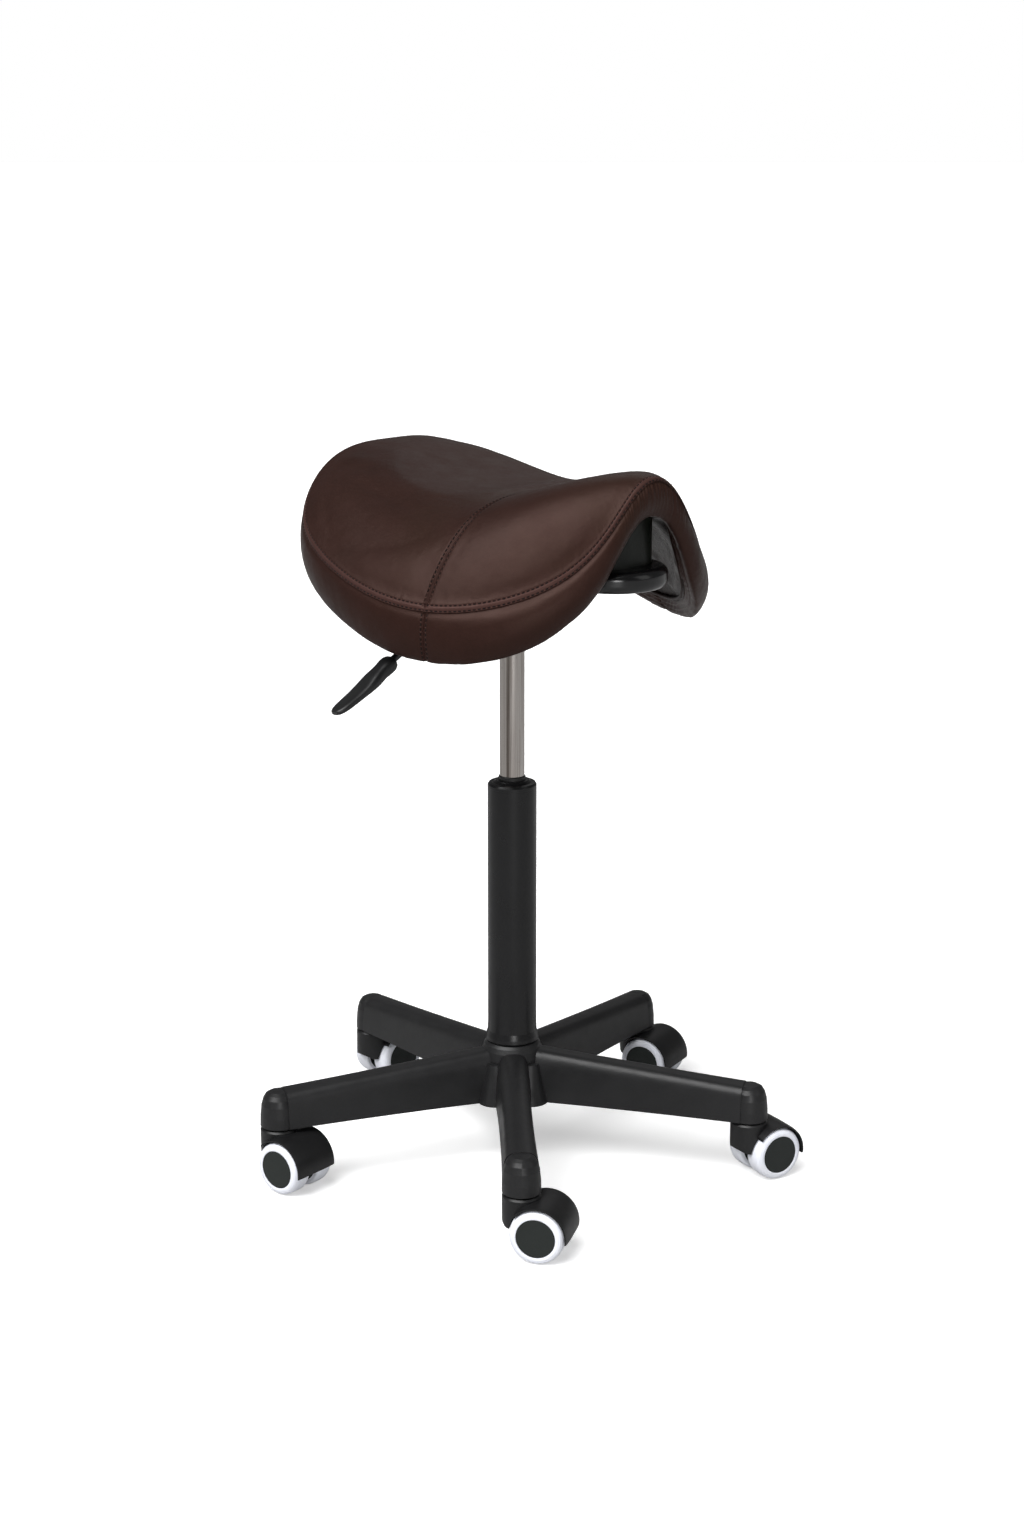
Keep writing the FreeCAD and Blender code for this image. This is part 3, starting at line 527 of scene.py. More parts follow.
def top_panel(name, front):
    th_r, mid = columns(front)
    th_l = (2 * math.pi - th_r) if not front else -th_r
    side_n = len(th_r)
    # ring of columns: left side from the cross seam outwards, middle, right side back to the cross seam
    ring_th = np.concatenate([th_l, mid[1:-1], th_r[::-1]])
    sec = rim_sections(ring_th)
    rows = np.array(LAP_ROWS)
    strip = rim_points(sec, np.repeat(rows[None], len(ring_th), 0))
    iu, iv = plan(strip[:, 0])
    nm = len(mid)
    Lc = np.stack([iu[:side_n], iv[:side_n]], -1)
    Rc = np.stack([iu[::-1][:side_n], iv[::-1][:side_n]], -1)
    Tc = np.stack([iu[side_n - 1:side_n - 1 + nm], iv[side_n - 1:side_n - 1 + nm]], -1)
    s = np.linspace(-1, 1, nm)
    v_end = abs(Lc[0, 1])
    bow = _u0 + 2.8 - Lc[0, 0] + (0.04 if front else -0.04)
    Bc = np.stack([Lc[0, 0] + bow * (1 - s * s), v_end * s], -1)
    Bc[0], Bc[-1] = Lc[0], Rc[0]
    d = np.abs(arc_of(th_r) - arc_of(th_r[0]))
    t = (d / d[-1])[None, :, None]
    q = (0.5 * (s + 1))[:, None, None]
    P = (1 - t) * Bc[:, None] + t * Tc[:, None] + (1 - q) * Lc[None] + q * Rc[None] - (
        (1 - q) * (1 - t) * Bc[0] + (1 - q) * t * Tc[0] + q * (1 - t) * Bc[-1] + q * t * Tc[-1])
    inner = world(P[..., 0], P[..., 1], top_z(P[..., 0], P[..., 1]))     # (nm, side_n, 3)
    co = inner.reshape(-1, 3)
    n_in = len(co)
    idx = np.arange(n_in).reshape(nm, side_n)
    ring_idx = np.concatenate([idx[0, :], idx[1:-1, -1], idx[-1, ::-1]])
    extra = strip[:, 1:]
    k = len(rows) - 1
    co = np.concatenate([co, extra.reshape(-1, 3)])
    eidx = n_in + np.arange(len(ring_th) * k).reshape(len(ring_th), k)
    full = np.concatenate([ring_idx[:, None], eidx], 1)
    flip = front
    faces = grid_faces(nm, side_n, 0, flip=not front)
    a, b, c_, d_ = full[:-1, :-1], full[1:, :-1], full[1:, 1:], full[:-1, 1:]
    quads = np.stack([a, b, c_, d_], -1).reshape(-1, 4)
    if front:
        quads = quads[:, ::-1]
    faces = faces + [tuple(int(x) for x in f) for f in quads]
    sd = np.full(len(co), 40.0)
    sa = np.zeros(len(co))
    sd[full] = rows[None]
    sa[full] = arc_of(ring_th)[:, None]
    o = new_mesh(name, co, [tuple(int(x) for x in f) for f in faces])
    nr = vertex_normals(o)
    if np.mean(nr[:n_in, 2]) < 0:
        o.data.flip_normals()
        nr = -nr
    cd, ca = cross_field(co)
    h = swell_at(co)
    fade = ease((sd + 1.5) / 5.0)
    h += 0.45 * (1 - ease((sd - 3.2) / 6.0))
    h += 0.22 * bump(sd, 0.0, 1.5)
    h -= 0.42 * bump(sd, ROW, 0.62) + 0.42 * bump(sd, -ROW, 0.62)
    h -= 0.35 * (sd < -4.2)
    h -= fade * (1.15 * bump(cd, 0.0, 1.25) + 0.35 * bump(cd, CROW, 0.6) + 0.55 * bump(cd, 0.0, 5.5))
    h -= 0.35 * (cd < 0.6)
    h += 0.32 * fractal(co, 1 / 46.0, 2, 3.1) * ease((sd - 4) / 14.0) + 0.07 * fractal(co, 1 / 9.0, 2, 8.7) * ease((sd - 4) / 10.0)
    # short puckers pulled in by the stitches
    pk = 0.16 * fractal(np.stack([sa / 3.4, sd * 0.12, 0 * sa], -1), 1.0, 2, 1.9) * bump(np.abs(sd - 1.0), 6.5, 3.0) * (sd < 30)
    h += pk
    set_co(o, (co + nr * h[:, None]) * 0.001)
    for key, val in (("sd", sd), ("sa", sa), ("cd", np.where(sd > -1, cd, 40.0)), ("ca", ca)):
        at = o.data.attributes.new(key, "FLOAT", "POINT")
        at.data.foreach_set("value", np.asarray(val, np.float32))
    return o, ring_th


pleat = np.random.default_rng(11)
PLEATS = [(x, pleat.uniform(0.75, 1.15), pleat.uniform(0.45, 1.0), pleat.uniform(-0.5, 0.5)) for x in np.cumsum(pleat.uniform(3.0, 5.6, 40)) - 62.0]


def side_band(name, ring_th, front):
    sec = rim_sections(ring_th)
    L = sec[4]
    frac = (np.linspace(0, 1, 58)[1:]) ** 0.86
    s = np.concatenate([np.repeat(np.array(BAND_ROWS)[None], len(ring_th), 0), BAND_ROWS[-1] - frac[None] * (L + BAND_ROWS[-1])[:, None]], 1)
    P = rim_points(sec, s)
    n, m = P.shape[:2]
    co = P.reshape(-1, 3)
    o = new_mesh(name, co, grid_faces(n, m))
    nr = vertex_normals(o)
    outward = co - np.array([0.0, 0.0, 0.0])
    c_mid = P[:, 20].reshape(-1, 3)
    n_mid = nr.reshape(n, m, 3)[:, 20]
    u, v = plan(n_mid)
    rn = rim_normal(ring_th)
    if np.mean(u * rn[0] + v * rn[1]) < 0:
        o.data.flip_normals()
        nr = -nr
    S = s.reshape(-1)
    th = np.repeat(ring_th, m)
    sa = arc_of(ring_th)
    SA = np.repeat(sa, m)
    f = np.clip((-S) / np.repeat(L, m), 0, 1)
    ends = np.array([arc_of(-SEAM_TH), arc_of(SEAM_TH), arc_of(2 * math.pi - SEAM_TH)])
    cd = np.min(np.abs(SA[:, None] - ends[None]), axis=1)
    h = swell_at(co) * (1 - ease((f - 0.72) / 0.2))
    h -= 1.15 * (1 - ease((-S - 4.4) / 8.0))
    below_lap = ease((-S - 3.5) / 4.0)
    h -= below_lap * (0.95 * bump(cd, 0.0, 1.2) + 0.35 * bump(cd, CROW, 0.6) + 0.4 * bump(cd, 0.0, 5.0))
    # gathers under the seam where the leather is eased round the front
    x0 = SA - arc_of(0.0)
    fall = ease((-S - 4.4) / 1.6) * np.exp(-np.maximum(-S - 8.0, 0) / 8.5)
    g = np.zeros_like(S)
    if front:
        for x, w, a, k in PLEATS:
            g += a * bump(x0 + k * S * 0.12, x, w)
        env = ease((x0 + 66.0) / 34.0) * ease((84.0 - x0) / 44.0)
        h -= 3.0 * (g - 0.40) * fall * env
    # longer soft drag lines, and folds where the leather turns under
    flow = np.stack([SA / 26.0 + S * 0.012, S / 60.0, 0 * S], -1)
    h += 0.35 * fractal(flow, 1.0, 2, 5.3) * ease((-S - 8) / 12.0)
    h += 0.25 * fractal(co, 1 / 34.0, 2, 2.2) * ease((-S - 8) / 12.0)
    turn = ease((f - 0.74) / 0.08)
    wob = fractal(np.stack([SA / 55.0, 0 * S, 0 * S], -1), 1.0, 2, 9.4)
    ridges = (0.5 + 0.5 * np.cos(2 * math.pi * ((1 - f) * np.repeat(L, m) / 6.4 + 0.45 * wob))) ** 2.2
    h += turn * (1.9 * ridges * (0.72 + 0.28 * np.cos(SA / 31.0)) - 0.9)
    tug = fractal(np.stack([SA / 4.6, f * 1.6, 0 * S], -1), 1.0, 2, 6.6)
    h += 0.34 * tug * ease((f - 0.62) / 0.15)
    set_co(o, (co + nr * h[:, None]) * 0.001)
    for key, val in (("sd", S), ("sa", SA), ("cd", np.where(S < -3.0, cd, 40.0)), ("ca", -S)):
        at = o.data.attributes.new(key, "FLOAT", "POINT")
        at.data.foreach_set("value", np.asarray(val, np.float32))
    return o


def thicken(o, t):
    so = o.modifiers.new("solid", "SOLIDIFY")
    so.thickness = t * 0.001
    so.offset = -1.0
    so.use_rim = True
    apply_modifiers(o)
    o.data.polygons.foreach_set("use_smooth", [True] * len(o.data.polygons))
    o.data.update()
    return o


front_top, front_th = top_panel("saddle_top_front", True)
rear_top, rear_th = top_panel("saddle_top_rear", False)
front_band = side_band("saddle_band_front", front_th, True)
rear_band = side_band("saddle_band_rear", rear_th, False)


# ------------------------------------------------------------------ stitching: real thread on the finished leather
def bvh_of(*objs):
    co, fa, off = [], [], 0
    for o in objs:
        co += [tuple(v.co) for v in o.data.vertices]
        fa += [tuple(i + off for i in p.vertices) for p in o.data.polygons]
        off = len(co)
    return BVHTree.FromPolygons(co, fa)


def thread(name, runs, skin, r=0.50, length=0.56):
    """stitches along (points, seam places) runs in mm: each a short thread that rises out of one hole and dives into the next"""
    tree = bvh_of(*skin)
    co, fa = [], []
    SIDES, RINGS = 6, 7
    for run in runs:
        run, a = np.asarray(run[0]), np.asarray(run[1])
        if a[-1] < a[0]:
            run, a = run[::-1], a[::-1]
        for k in range(int(math.ceil(a[0] / PITCH - 0.2)), int(math.floor(a[-1] / PITCH + 0.2))):
            mid = (k + 0.5) * PITCH
            half = PITCH * length * 0.5
            pts, nor = [], []
            for q in np.linspace(-1, 1, RINGS):
                x = mid + q * half
                p = Vector([np.interp(x, a, run[:, c]) for c in range(3)]) * 0.001
                hit, n, _, _ = tree.find_nearest(p)
                pts.append(np.array(hit) * 1000.0)
                nor.append(np.array(n))
            n0 = np.mean(nor, axis=0)
            n0 /= np.linalg.norm(n0)
            base = len(co)
            prof = [-0.70, -0.12, 0.10, 0.16, 0.10, -0.12, -0.70]
            size = [0.55, 0.9, 1.0, 1.0, 1.0, 0.9, 0.55]
            cs = [p + n0 * h for p, h in zip(pts, prof)]
            for i in range(RINGS):
                d = cs[min(i + 1, RINGS - 1)] - cs[max(i - 1, 0)]
                d = d / np.linalg.norm(d)
                e1 = np.cross(d, n0)
                e1 /= np.linalg.norm(e1)
                e2 = np.cross(e1, d)
                for j in range(SIDES):
                    w = 2 * math.pi * j / SIDES
                    co.append(cs[i] + (e1 * math.cos(w) + e2 * math.sin(w)) * r * size[i])
            for i in range(RINGS - 1):
                for j in range(SIDES):
                    k2 = (j + 1) % SIDES
                    fa.append((base + i * SIDES + j, base + i * SIDES + k2, base + (i + 1) * SIDES + k2, base + (i + 1) * SIDES + j))
            fa.append(tuple(base + j for j in range(SIDES))[::-1])
            fa.append(tuple(base + (RINGS - 1) * SIDES + j for j in range(SIDES)))
    return new_mesh(name, co, fa)


def seam_run(s, t0, t1):
    th = even_angles(t0, t1, 500)
    return rim_points(rim_sections(th), np.full((len(th), 1), float(s)))[:, 0], arc_of(th)


def cross_run(off, edge):
    """a row beside the cross seam, from near side to far side, inside the perimeter rows"""
    v = np.linspace(-_w + edge, _w - edge, 500)
    u = cross_u(v)
    p = world(u, v, top_z(u, v))
    t = np.gradient(p, axis=0)
    t /= np.linalg.norm(t, axis=1)[:, None]
    g = grad(u, v)
    n = world(-g[0], -g[1], 1.0)
    n /= np.linalg.norm(n, axis=1)[:, None]
    return p + np.cross(t, n) * off, np.interp(v, _cv, _ca)


def band_run(th, off):
    """a row beside the cross seam's run down the band"""
    t = float(angle_of(arc_of(th) + off))
    sec = rim_sections(np.array([t]))
    L = float(sec[4][0])
    s = -np.linspace(5.4, L * 0.93, 120)
    return rim_points(sec, s[None])[0], -s


ALL_TOP = (front_top, rear_top)
ALL_BAND = (front_band, rear_band)
runs_top = [seam_run(ROW, -SEAM_TH, 2 * math.pi - SEAM_TH)]
runs_low = [seam_run(-ROW, -SEAM_TH, 2 * math.pi - SEAM_TH)]
st_top = thread("stitch_row_upper", runs_top, ALL_TOP)
st_low = thread("stitch_row_lower", runs_low, ALL_TOP)
st_cf = thread("stitch_row_cross_front", [cross_run(-CROW, 5.5)], ALL_TOP)
st_cr = thread("stitch_row_cross_rear", [cross_run(CROW, 5.5)], ALL_TOP)
st_b = thread("stitch_row_side", [band_run(-SEAM_TH, CROW), band_run(2 * math.pi - SEAM_TH, -CROW), band_run(SEAM_TH, CROW), band_run(SEAM_TH, -CROW)], ALL_BAND)
for o in (front_top, rear_top, front_band, rear_band):
    thicken(o, 1.25)


# ------------------------------------------------------------------ lining, drawn over the shell and held under the pan
def lining_piece():
    n_r, n_th = 110, 340
    th = even_angles(-SEAM_TH, 2 * math.pi - SEAM_TH, n_th)[:-1]
    u, v = rim(th)
    n = rim_normal(th)
    q = np.linspace(0, 1, n_r) ** 0.8
    eu, ev = u - n[0] * 20.5, v - n[1] * 20.5
    U = UC + (eu - UC)[:, None] * q[None]
    V_ = ev[:, None] * q[None]
    Q = np.repeat(q[None], n_th, 0)
    TH = np.repeat(th[:, None], n_r, 1)
    Z = top_z(U, V_) - 0.944 * depth(Q, TH)
    # the outer part leaves the shell and runs out to the turned edge of the band
    sec = rim_sections(th)
    tail = rim_points(sec, np.stack([-sec[4] + 4.0, -sec[4]], 1))
    edge = tail[:, 0] + world(-n[0] * 0.8, -n[1] * 0.8, 1.5)
    flat_in = world(U, V_, Z)
    wq = ease((Q - 0.80) / 0.20)[..., None]
    blended = flat_in * (1 - wq) + edge[:, None] * wq
    U, V_ = plan(blended)
    Z = blended[..., 2]
    arc = arc_of(th)[:, None] + 0 * Q
    # the pan and its block press on the middle; outside them the leather is gathered towards the edge
    clear = ease((np.abs(V_) - 70.0) / 16.0)
    clear = np.maximum(clear, ease((U - 178.0) / 12.0))
    clear = np.maximum(clear, ease((-130.0 - U) / 12.0))
    flow = np.stack([arc / 34.0 + Q * 3.0, Q * 2.0, 0 * Q], -1).reshape(-1, 3)
    w = fractal(flow, 1.0, 3, 4.4).reshape(Q.shape)
    tang = np.stack([arc / 70.0, Q * 11.0, 0 * Q], -1).reshape(-1, 3)
    w2 = fractal(tang, 1.0, 2, 7.1).reshape(Q.shape)
    near_edge = ease((Q - 0.50) / 0.14)
    fold = 1.3 * (0.5 + 0.5 * np.cos(2 * math.pi * ((1 - Q) * 150.0 / 13.0 + 0.45 * w2))) ** 1.8 - 0.5
    sag = clear * (3.0 * np.clip(1 - np.abs(w), 0, 1) ** 2.2 * ease((Q - 0.30) / 0.3) * (1 - 0.75 * near_edge) + 3.4 * fold * near_edge * (0.8 + 0.2 * w2)) * (1 - ease((Q - 0.95) / 0.05))
    co = world(U, V_, Z)
    du = np.gradient(co, axis=0)
    dq = np.gradient(co, axis=1)
    nn = np.cross(du, dq)
    nn /= np.maximum(np.linalg.norm(nn, axis=2), 1e-9)[..., None]
    nn[:, 0] = nn[:, 1]
    nn *= np.where(nn[..., 2:3] > 0, -1.0, 1.0)
    co = co + nn * sag[..., None]
    m = n_r
    faces = []
    idx = np.arange(n_th * m).reshape(n_th, m)
    for i in range(n_th):
        k = (i + 1) % n_th
        for j in range(1, m - 1):
            faces.append((int(idx[i, j]), int(idx[k, j]), int(idx[k, j + 1]), int(idx[i, j + 1])))
    pts = co.reshape(-1, 3)
    centre = len(pts)
    pts = np.concatenate([pts, world(np.array([UC]), np.array([0.0]), top_z(UC, 0.0) - 0.944 * PAD)])
    for i in range(n_th):
        k = (i + 1) % n_th
        faces.append((centre, int(idx[k, 1]), int(idx[i, 1])))
    o = new_mesh("saddle_lining", pts, faces)
    # the first column of each spoke lies at the centre and isn't used
    import bmesh
    bm = bmesh.new()
    bm.from_mesh(o.data)
    bmesh.ops.delete(bm, geom=[x for x in bm.verts if not x.link_faces], context="VERTS")
    bmesh.ops.recalc_face_normals(bm, faces=bm.faces)
    bm.to_mesh(o.data)
    bm.free()
    if np.mean(vertex_normals(o)[:, 2]) > 0:
        o.data.flip_normals()
    so = o.modifiers.new("solid", "SOLIDIFY")
    so.thickness = 0.0011
    so.offset = -1.0
    apply_modifiers(o)
    o.data.polygons.foreach_set("use_smooth", [True] * len(o.data.polygons))
    return o


lining = lining_piece()


def piping_piece():
    """a sewn cord edge where the band meets the lining"""
    n_th, sides, r = 520, 10, 2.1
    th = even_angles(-SEAM_TH, 2 * math.pi - SEAM_TH, n_th)[:-1]
    sec = rim_sections(th)
    L = sec[4]
    P = rim_points(sec, np.stack([-L + 3.0, -L], 1))
    end = P[:, 1]
    inw = end - P[:, 0]
    inw /= np.linalg.norm(inw, axis=1)[:, None]
    u, v = rim(th)
    n = rim_normal(th)
    c = end + inw * 1.2 + world(0 * u, 0 * u, 0.6)
    t = np.roll(c, -1, axis=0) - np.roll(c, 1, axis=0)
    t /= np.linalg.norm(t, axis=1)[:, None]
    e1 = inw - np.sum(inw * t, 1)[:, None] * t
    e1 /= np.linalg.norm(e1, axis=1)[:, None]
    e2 = np.cross(t, e1)
    arc = arc_of(th)
    wob = fractal(np.stack([arc / 7.0, 0 * arc, 0 * arc], -1), 1.0, 2, 2.7)
    co, faces = [], []
    for j in range(sides):
        w = 2 * math.pi * j / sides
        co.append(c + (e1 * math.cos(w) + e2 * math.sin(w)) * (r * (1 + 0.07 * wob))[:, None])
    co = np.stack(co, 1).reshape(-1, 3)
    m = n_th
    for i in range(m):
        k = (i + 1) % m
        for j in range(sides):
            l = (j + 1) % sides
            faces.append((i * sides + j, i * sides + l, k * sides + l, k * sides + j))
    return new_mesh("saddle_piping", co, faces)


piping = piping_piece()


# ------------------------------------------------------------------ materials
class Mat:
    def __init__(self, name):
        self.m = bpy.data.materials.new(name)
        self.m.use_nodes = True
        self.t = self.m.node_tree
        self.t.nodes.clear()
        self.out = self.t.nodes.new("ShaderNodeOutputMaterial")
        self.b = self.t.nodes.new("ShaderNodeBsdfPrincipled")
        self.t.links.new(self.b.outputs[0], self.out.inputs[0])
        self.obj = self.t.nodes.new("ShaderNodeTexCoord").outputs["Object"]

    def put(self, sock, val):
        if isinstance(val, bpy.types.NodeSocket):
            self.t.links.new(val, sock)
        elif isinstance(val, (tuple, list)) and len(val) == 3 and sock.type == "RGBA":
            sock.default_value = (*val, 1.0)
        else:
            sock.default_value = val

    def set(self, **kw):
        names = {"color": "Base Color", "rough": "Roughness", "metal": "Metallic", "spec": "Specular IOR Level", "normal": "Normal",
                 "coat": "Coat Weight", "coat_rough": "Coat Roughness", "sheen": "Sheen Weight", "sheen_rough": "Sheen Roughness", "sheen_tint": "Sheen Tint",
                 "aniso": "Anisotropic", "aniso_rot": "Anisotropic Rotation", "tangent": "Tangent", "sss": "Subsurface Weight", "sss_radius": "Subsurface Radius",
                 "sss_scale": "Subsurface Scale", "tint": "Specular Tint", "coat_normal": "Coat Normal", "ior": "IOR"}
        for k, v in kw.items():
            self.put(self.b.inputs[names[k]], v)
        return self

    def node(self, kind, out=0, props=None, **inputs):
        n = self.t.nodes.new(kind)
        for k, v in (props or {}).items():
            setattr(n, k, v)
        for k, v in inputs.items():
            key = int(k[1:]) if k[0] == "i" and k[1:].isdigit() else k.replace("_", " ")
            self.put(n.inputs[key], v)
        return n.outputs[out]

    def math(self, op, a, b=0.0, c=None, clamp=False):
        kw = {"i0": a, "i1": b}
        if c is not None:
            kw["i2"] = c
        return self.node("ShaderNodeMath", props={"operation": op, "use_clamp": clamp}, **kw)

    def noise(self, scale, detail=3.0, rough=0.5, vector=None, distortion=0.0):
        return self.node("ShaderNodeTexNoise", 0, Vector=vector if vector is not None else self.obj, Scale=scale, Detail=detail, Roughness=rough, Distortion=distortion)

    def stretch(self, x, y, z):
        return self.node("ShaderNodeVectorMath", props={"operation": "MULTIPLY"}, i0=self.obj, i1=(x, y, z))

    def voronoi(self, scale, feature="F1", vector=None, randomness=1.0):
        return self.node("ShaderNodeTexVoronoi", 0, props={"feature": feature}, Vector=vector if vector is not None else self.obj, Scale=scale, Randomness=randomness)

    def ramp(self, fac, *stops):
        n = self.t.nodes.new("ShaderNodeValToRGB")
        el = n.color_ramp.elements
        while len(el) < len(stops):
            el.new(0.5)
        for e, (p, c) in zip(el, stops):
            e.position = p
            e.color = (*c, 1.0) if isinstance(c, (tuple, list)) else (c, c, c, 1.0)
        self.put(n.inputs[0], fac)
        return n.outputs[0]

    def map(self, val, a, b, c, d):
        return self.node("ShaderNodeMapRange", 0, Value=val, From_Min=a, From_Max=b, To_Min=c, To_Max=d)

    def mix(self, fac, a, b, blend="MIX"):
        n = self.t.nodes.new("ShaderNodeMix")
        n.data_type = "RGBA"
        n.blend_type = blend
        ins = [s for s in n.inputs]
        self.put(n.inputs["Factor"], fac)
        rgba = [s for s in ins if s.type == "RGBA"]
        self.put(rgba[0], a)
        self.put(rgba[1], b)
        return [s for s in n.outputs if s.type == "RGBA"][0]

    def bump(self, height, distance, strength=1.0, normal=None):
        kw = {"Height": height, "Distance": distance, "Strength": strength}
        if normal is not None:
            kw["Normal"] = normal
        return self.node("ShaderNodeBump", 0, **kw)

    def attr(self, name):
        n = self.t.nodes.new("ShaderNodeAttribute")
        n.attribute_name = name
        return n.outputs["Fac"]


def leather(name, seams=True, dark=0.90, rough=0.36, spec=0.27):
    m = Mat(name)
    big = m.noise(7.0, 3.0, 0.55)
    mid = m.noise(38.0, 4.0, 0.6)
    fine = m.noise(420.0, 3.0, 0.6)
    k = dark
    tone = m.ramp(big, (0.28, (0.0195 * k, 0.0082 * k, 0.0060 * k)), (0.50, (0.0255 * k, 0.0108 * k, 0.0080 * k)), (0.72, (0.0265 * k, 0.0130 * k, 0.0085 * k)))
    tone = m.mix(m.map(mid, 0.3, 0.7, 0.0, 0.30), tone, (0.034 * k, 0.0135 * k, 0.0112 * k))
    tone = m.mix(m.map(fine, 0.35, 0.65, 0.0, 0.22), tone, (0.015 * k, 0.0064 * k, 0.0048 * k))
    # skin grain: small cells with creases between them, over a softer wrinkle
    warp = m.node("ShaderNodeVectorMath", props={"operation": "ADD"}, i0=m.obj, i1=m.node("ShaderNodeVectorMath", props={"operation": "SCALE"}, i0=m.node("ShaderNodeTexNoise", 1, Vector=m.obj, Scale=300.0, Detail=2.0), Scale=0.0016))
    cells = m.voronoi(820.0, "DISTANCE_TO_EDGE", warp)
    crease = m.map(cells, 0.0, 0.16, 0.0, 1.0)
    pores = m.voronoi(1500.0, "F1", warp)
    grain = m.math("ADD", m.math("MULTIPLY", crease, 0.75), m.math("MULTIPLY", pores, 0.25))
    # painted shade: the colour is darker in the grain creases
    tone = m.mix(m.math("MULTIPLY", m.math("SUBTRACT", 1.0, crease, clamp=True), 0.25), tone, (0.010 * k, 0.0042 * k, 0.0034 * k))
    rr = m.math("ADD", m.map(mid, 0.25, 0.75, rough - 0.05, rough + 0.07), m.math("MULTIPLY", m.math("SUBTRACT", 1.0, crease), 0.10))
    soft = m.bump(m.noise(26.0, 3.0, 0.55), 0.0011, 0.55)
    n1 = m.bump(m.noise(110.0, 3.0, 0.6), 0.00035, 0.35, soft)
    n2 = m.bump(grain, 0.00012, 0.50, n1)
    if seams:
        sd, sa, cd, ca = m.attr("sd"), m.attr("sa"), m.attr("cd"), m.attr("ca")

        def row(dist, at, arc, w):
            """1 in the groove under each stitch's thread (darkened as painted shadow) and 1 on the puckered leather
            between stitches (lightened as painted highlight), along a row
            """
            d = m.math("ABSOLUTE", m.math("SUBTRACT", m.math("ABSOLUTE", dist), at))
            near = m.map(d, w * 0.5, w * 1.3, 1.0, 0.0)
            ph = m.math("FRACT", m.math("DIVIDE", arc, PITCH))
            off = m.math("ABSOLUTE", m.math("SUBTRACT", ph, 0.5))
            return m.math("MULTIPLY", near, m.map(off, 0.30, 0.36, 1.0, 0.0)), m.math("MULTIPLY", near, m.map(off, 0.36, 0.44, 0.0, 1.0))
        p_groove_and_shadow, p_pucker_and_highlight = row(sd, ROW, sa, 0.75)
        c_groove_and_shadow, c_pucker_and_highlight = row(cd, CROW, ca, 0.75)
        groove_and_shadow = m.math("MAXIMUM", p_groove_and_shadow, c_groove_and_shadow)
        pucker_and_highlight = m.math("MAXIMUM", p_pucker_and_highlight, c_pucker_and_highlight)
        strip = m.map(m.math("ABSOLUTE", sd), 3.6, 4.4, 1.0, 0.0)
        valley_shade = m.map(m.math("ABSOLUTE", cd), 0.6, 2.4, 1.0, 0.0)
        tone = m.mix(m.math("MULTIPLY", strip, 0.55), tone, (0.070 * k, 0.034 * k, 0.030 * k))
        # painted shade: darker in the valley along the cross seam
        tone = m.mix(m.math("MULTIPLY", valley_shade, 0.6), tone, (0.014 * k, 0.0040 * k, 0.0030 * k))
        # painted shadow: darker in the groove under each stitch
        tone = m.mix(m.math("MULTIPLY", groove_and_shadow, 0.50), tone, (0.0060, 0.0025, 0.0020))
        # painted highlight: lighter on the puckered leather between stitches
        tone = m.mix(m.math("MULTIPLY", pucker_and_highlight, 0.55), tone, (0.085 * k, 0.044 * k, 0.038 * k))
        n2 = m.bump(m.math("SUBTRACT", m.math("MULTIPLY", pucker_and_highlight, 0.5), groove_and_shadow), 0.0005, 0.9, n2)
        rr = m.math("ADD", rr, m.math("MULTIPLY", groove_and_shadow, 0.15))
    m.set(color=tone, rough=rr, spec=spec, ior=1.42, tint=(1.0, 0.66, 0.58), normal=n2)
    return m.m


def plastic(name, col, rough, grain_scale=900.0, grain=0.00006, spec=0.4, mott=0.25, streak=None, strength=0.5, wear=0.0):
    m = Mat(name)
    big = m.noise(14.0, 3.0, 0.55)
    fine = m.noise(grain_scale, 2.0, 0.6)
    c2 = tuple(min(1.0, c * (1 + mott) + 0.0006) for c in col)
    tone = m.mix(m.map(big, 0.3, 0.7, 0.0, 1.0), col, c2)
    tone = m.mix(m.map(fine, 0.4, 0.62, 0.0, 0.35), tone, tuple(c * 1.6 + 0.0005 for c in col))
    if wear:
        scuff = m.noise(60.0, 5.0, 0.7, m.stretch(1.0, 1.0, 3.0), 1.5)
        tone = m.mix(m.math("MULTIPLY", m.map(scuff, 0.62, 0.74, 0.0, 1.0), wear), tone, tuple(min(1.0, c * 2.2 + 0.01) for c in col))
    cells = m.voronoi(grain_scale * 0.9, "SMOOTH_F1")
    height = m.math("ADD", m.math("MULTIPLY", cells, 0.6), m.math("MULTIPLY", fine, 0.4))
    n = m.bump(m.noise(30.0, 2.0, 0.5), 0.0004, 0.25)
    n = m.bump(height, grain, strength, n)
    m.set(color=tone, rough=m.map(m.noise(55.0, 4.0, 0.6), 0.25, 0.75, rough - 0.05, rough + 0.07), spec=spec, normal=n)
    return m.m


def metal(name, col, rough, streak=0.0, dirt=0.15):
    m = Mat(name)
    lines = m.noise(700.0, 3.0, 0.6, m.stretch(1.0, 1.0, 0.012))
    spots = m.noise(45.0, 4.0, 0.65)
    tone = m.mix(m.map(spots, 0.35, 0.75, 0.0, dirt), col, tuple(c * 0.45 for c in col))
    tone = m.mix(m.map(lines, 0.35, 0.7, 0.0, 0.35 if streak else 0.12), tone, tuple(c * 0.62 for c in col))
    n = m.bump(m.noise(900.0, 2.0, 0.5, m.stretch(1.0, 1.0, 0.02)), 0.00002, 0.35 if streak else 0.15)
    m.set(color=tone, metal=1.0, rough=m.map(m.math("ADD", m.math("MULTIPLY", spots, 0.5), m.math("MULTIPLY", lines, 0.5)), 0.3, 0.7, max(0.03, rough - 0.05), rough + 0.08), normal=n)
    return m.m


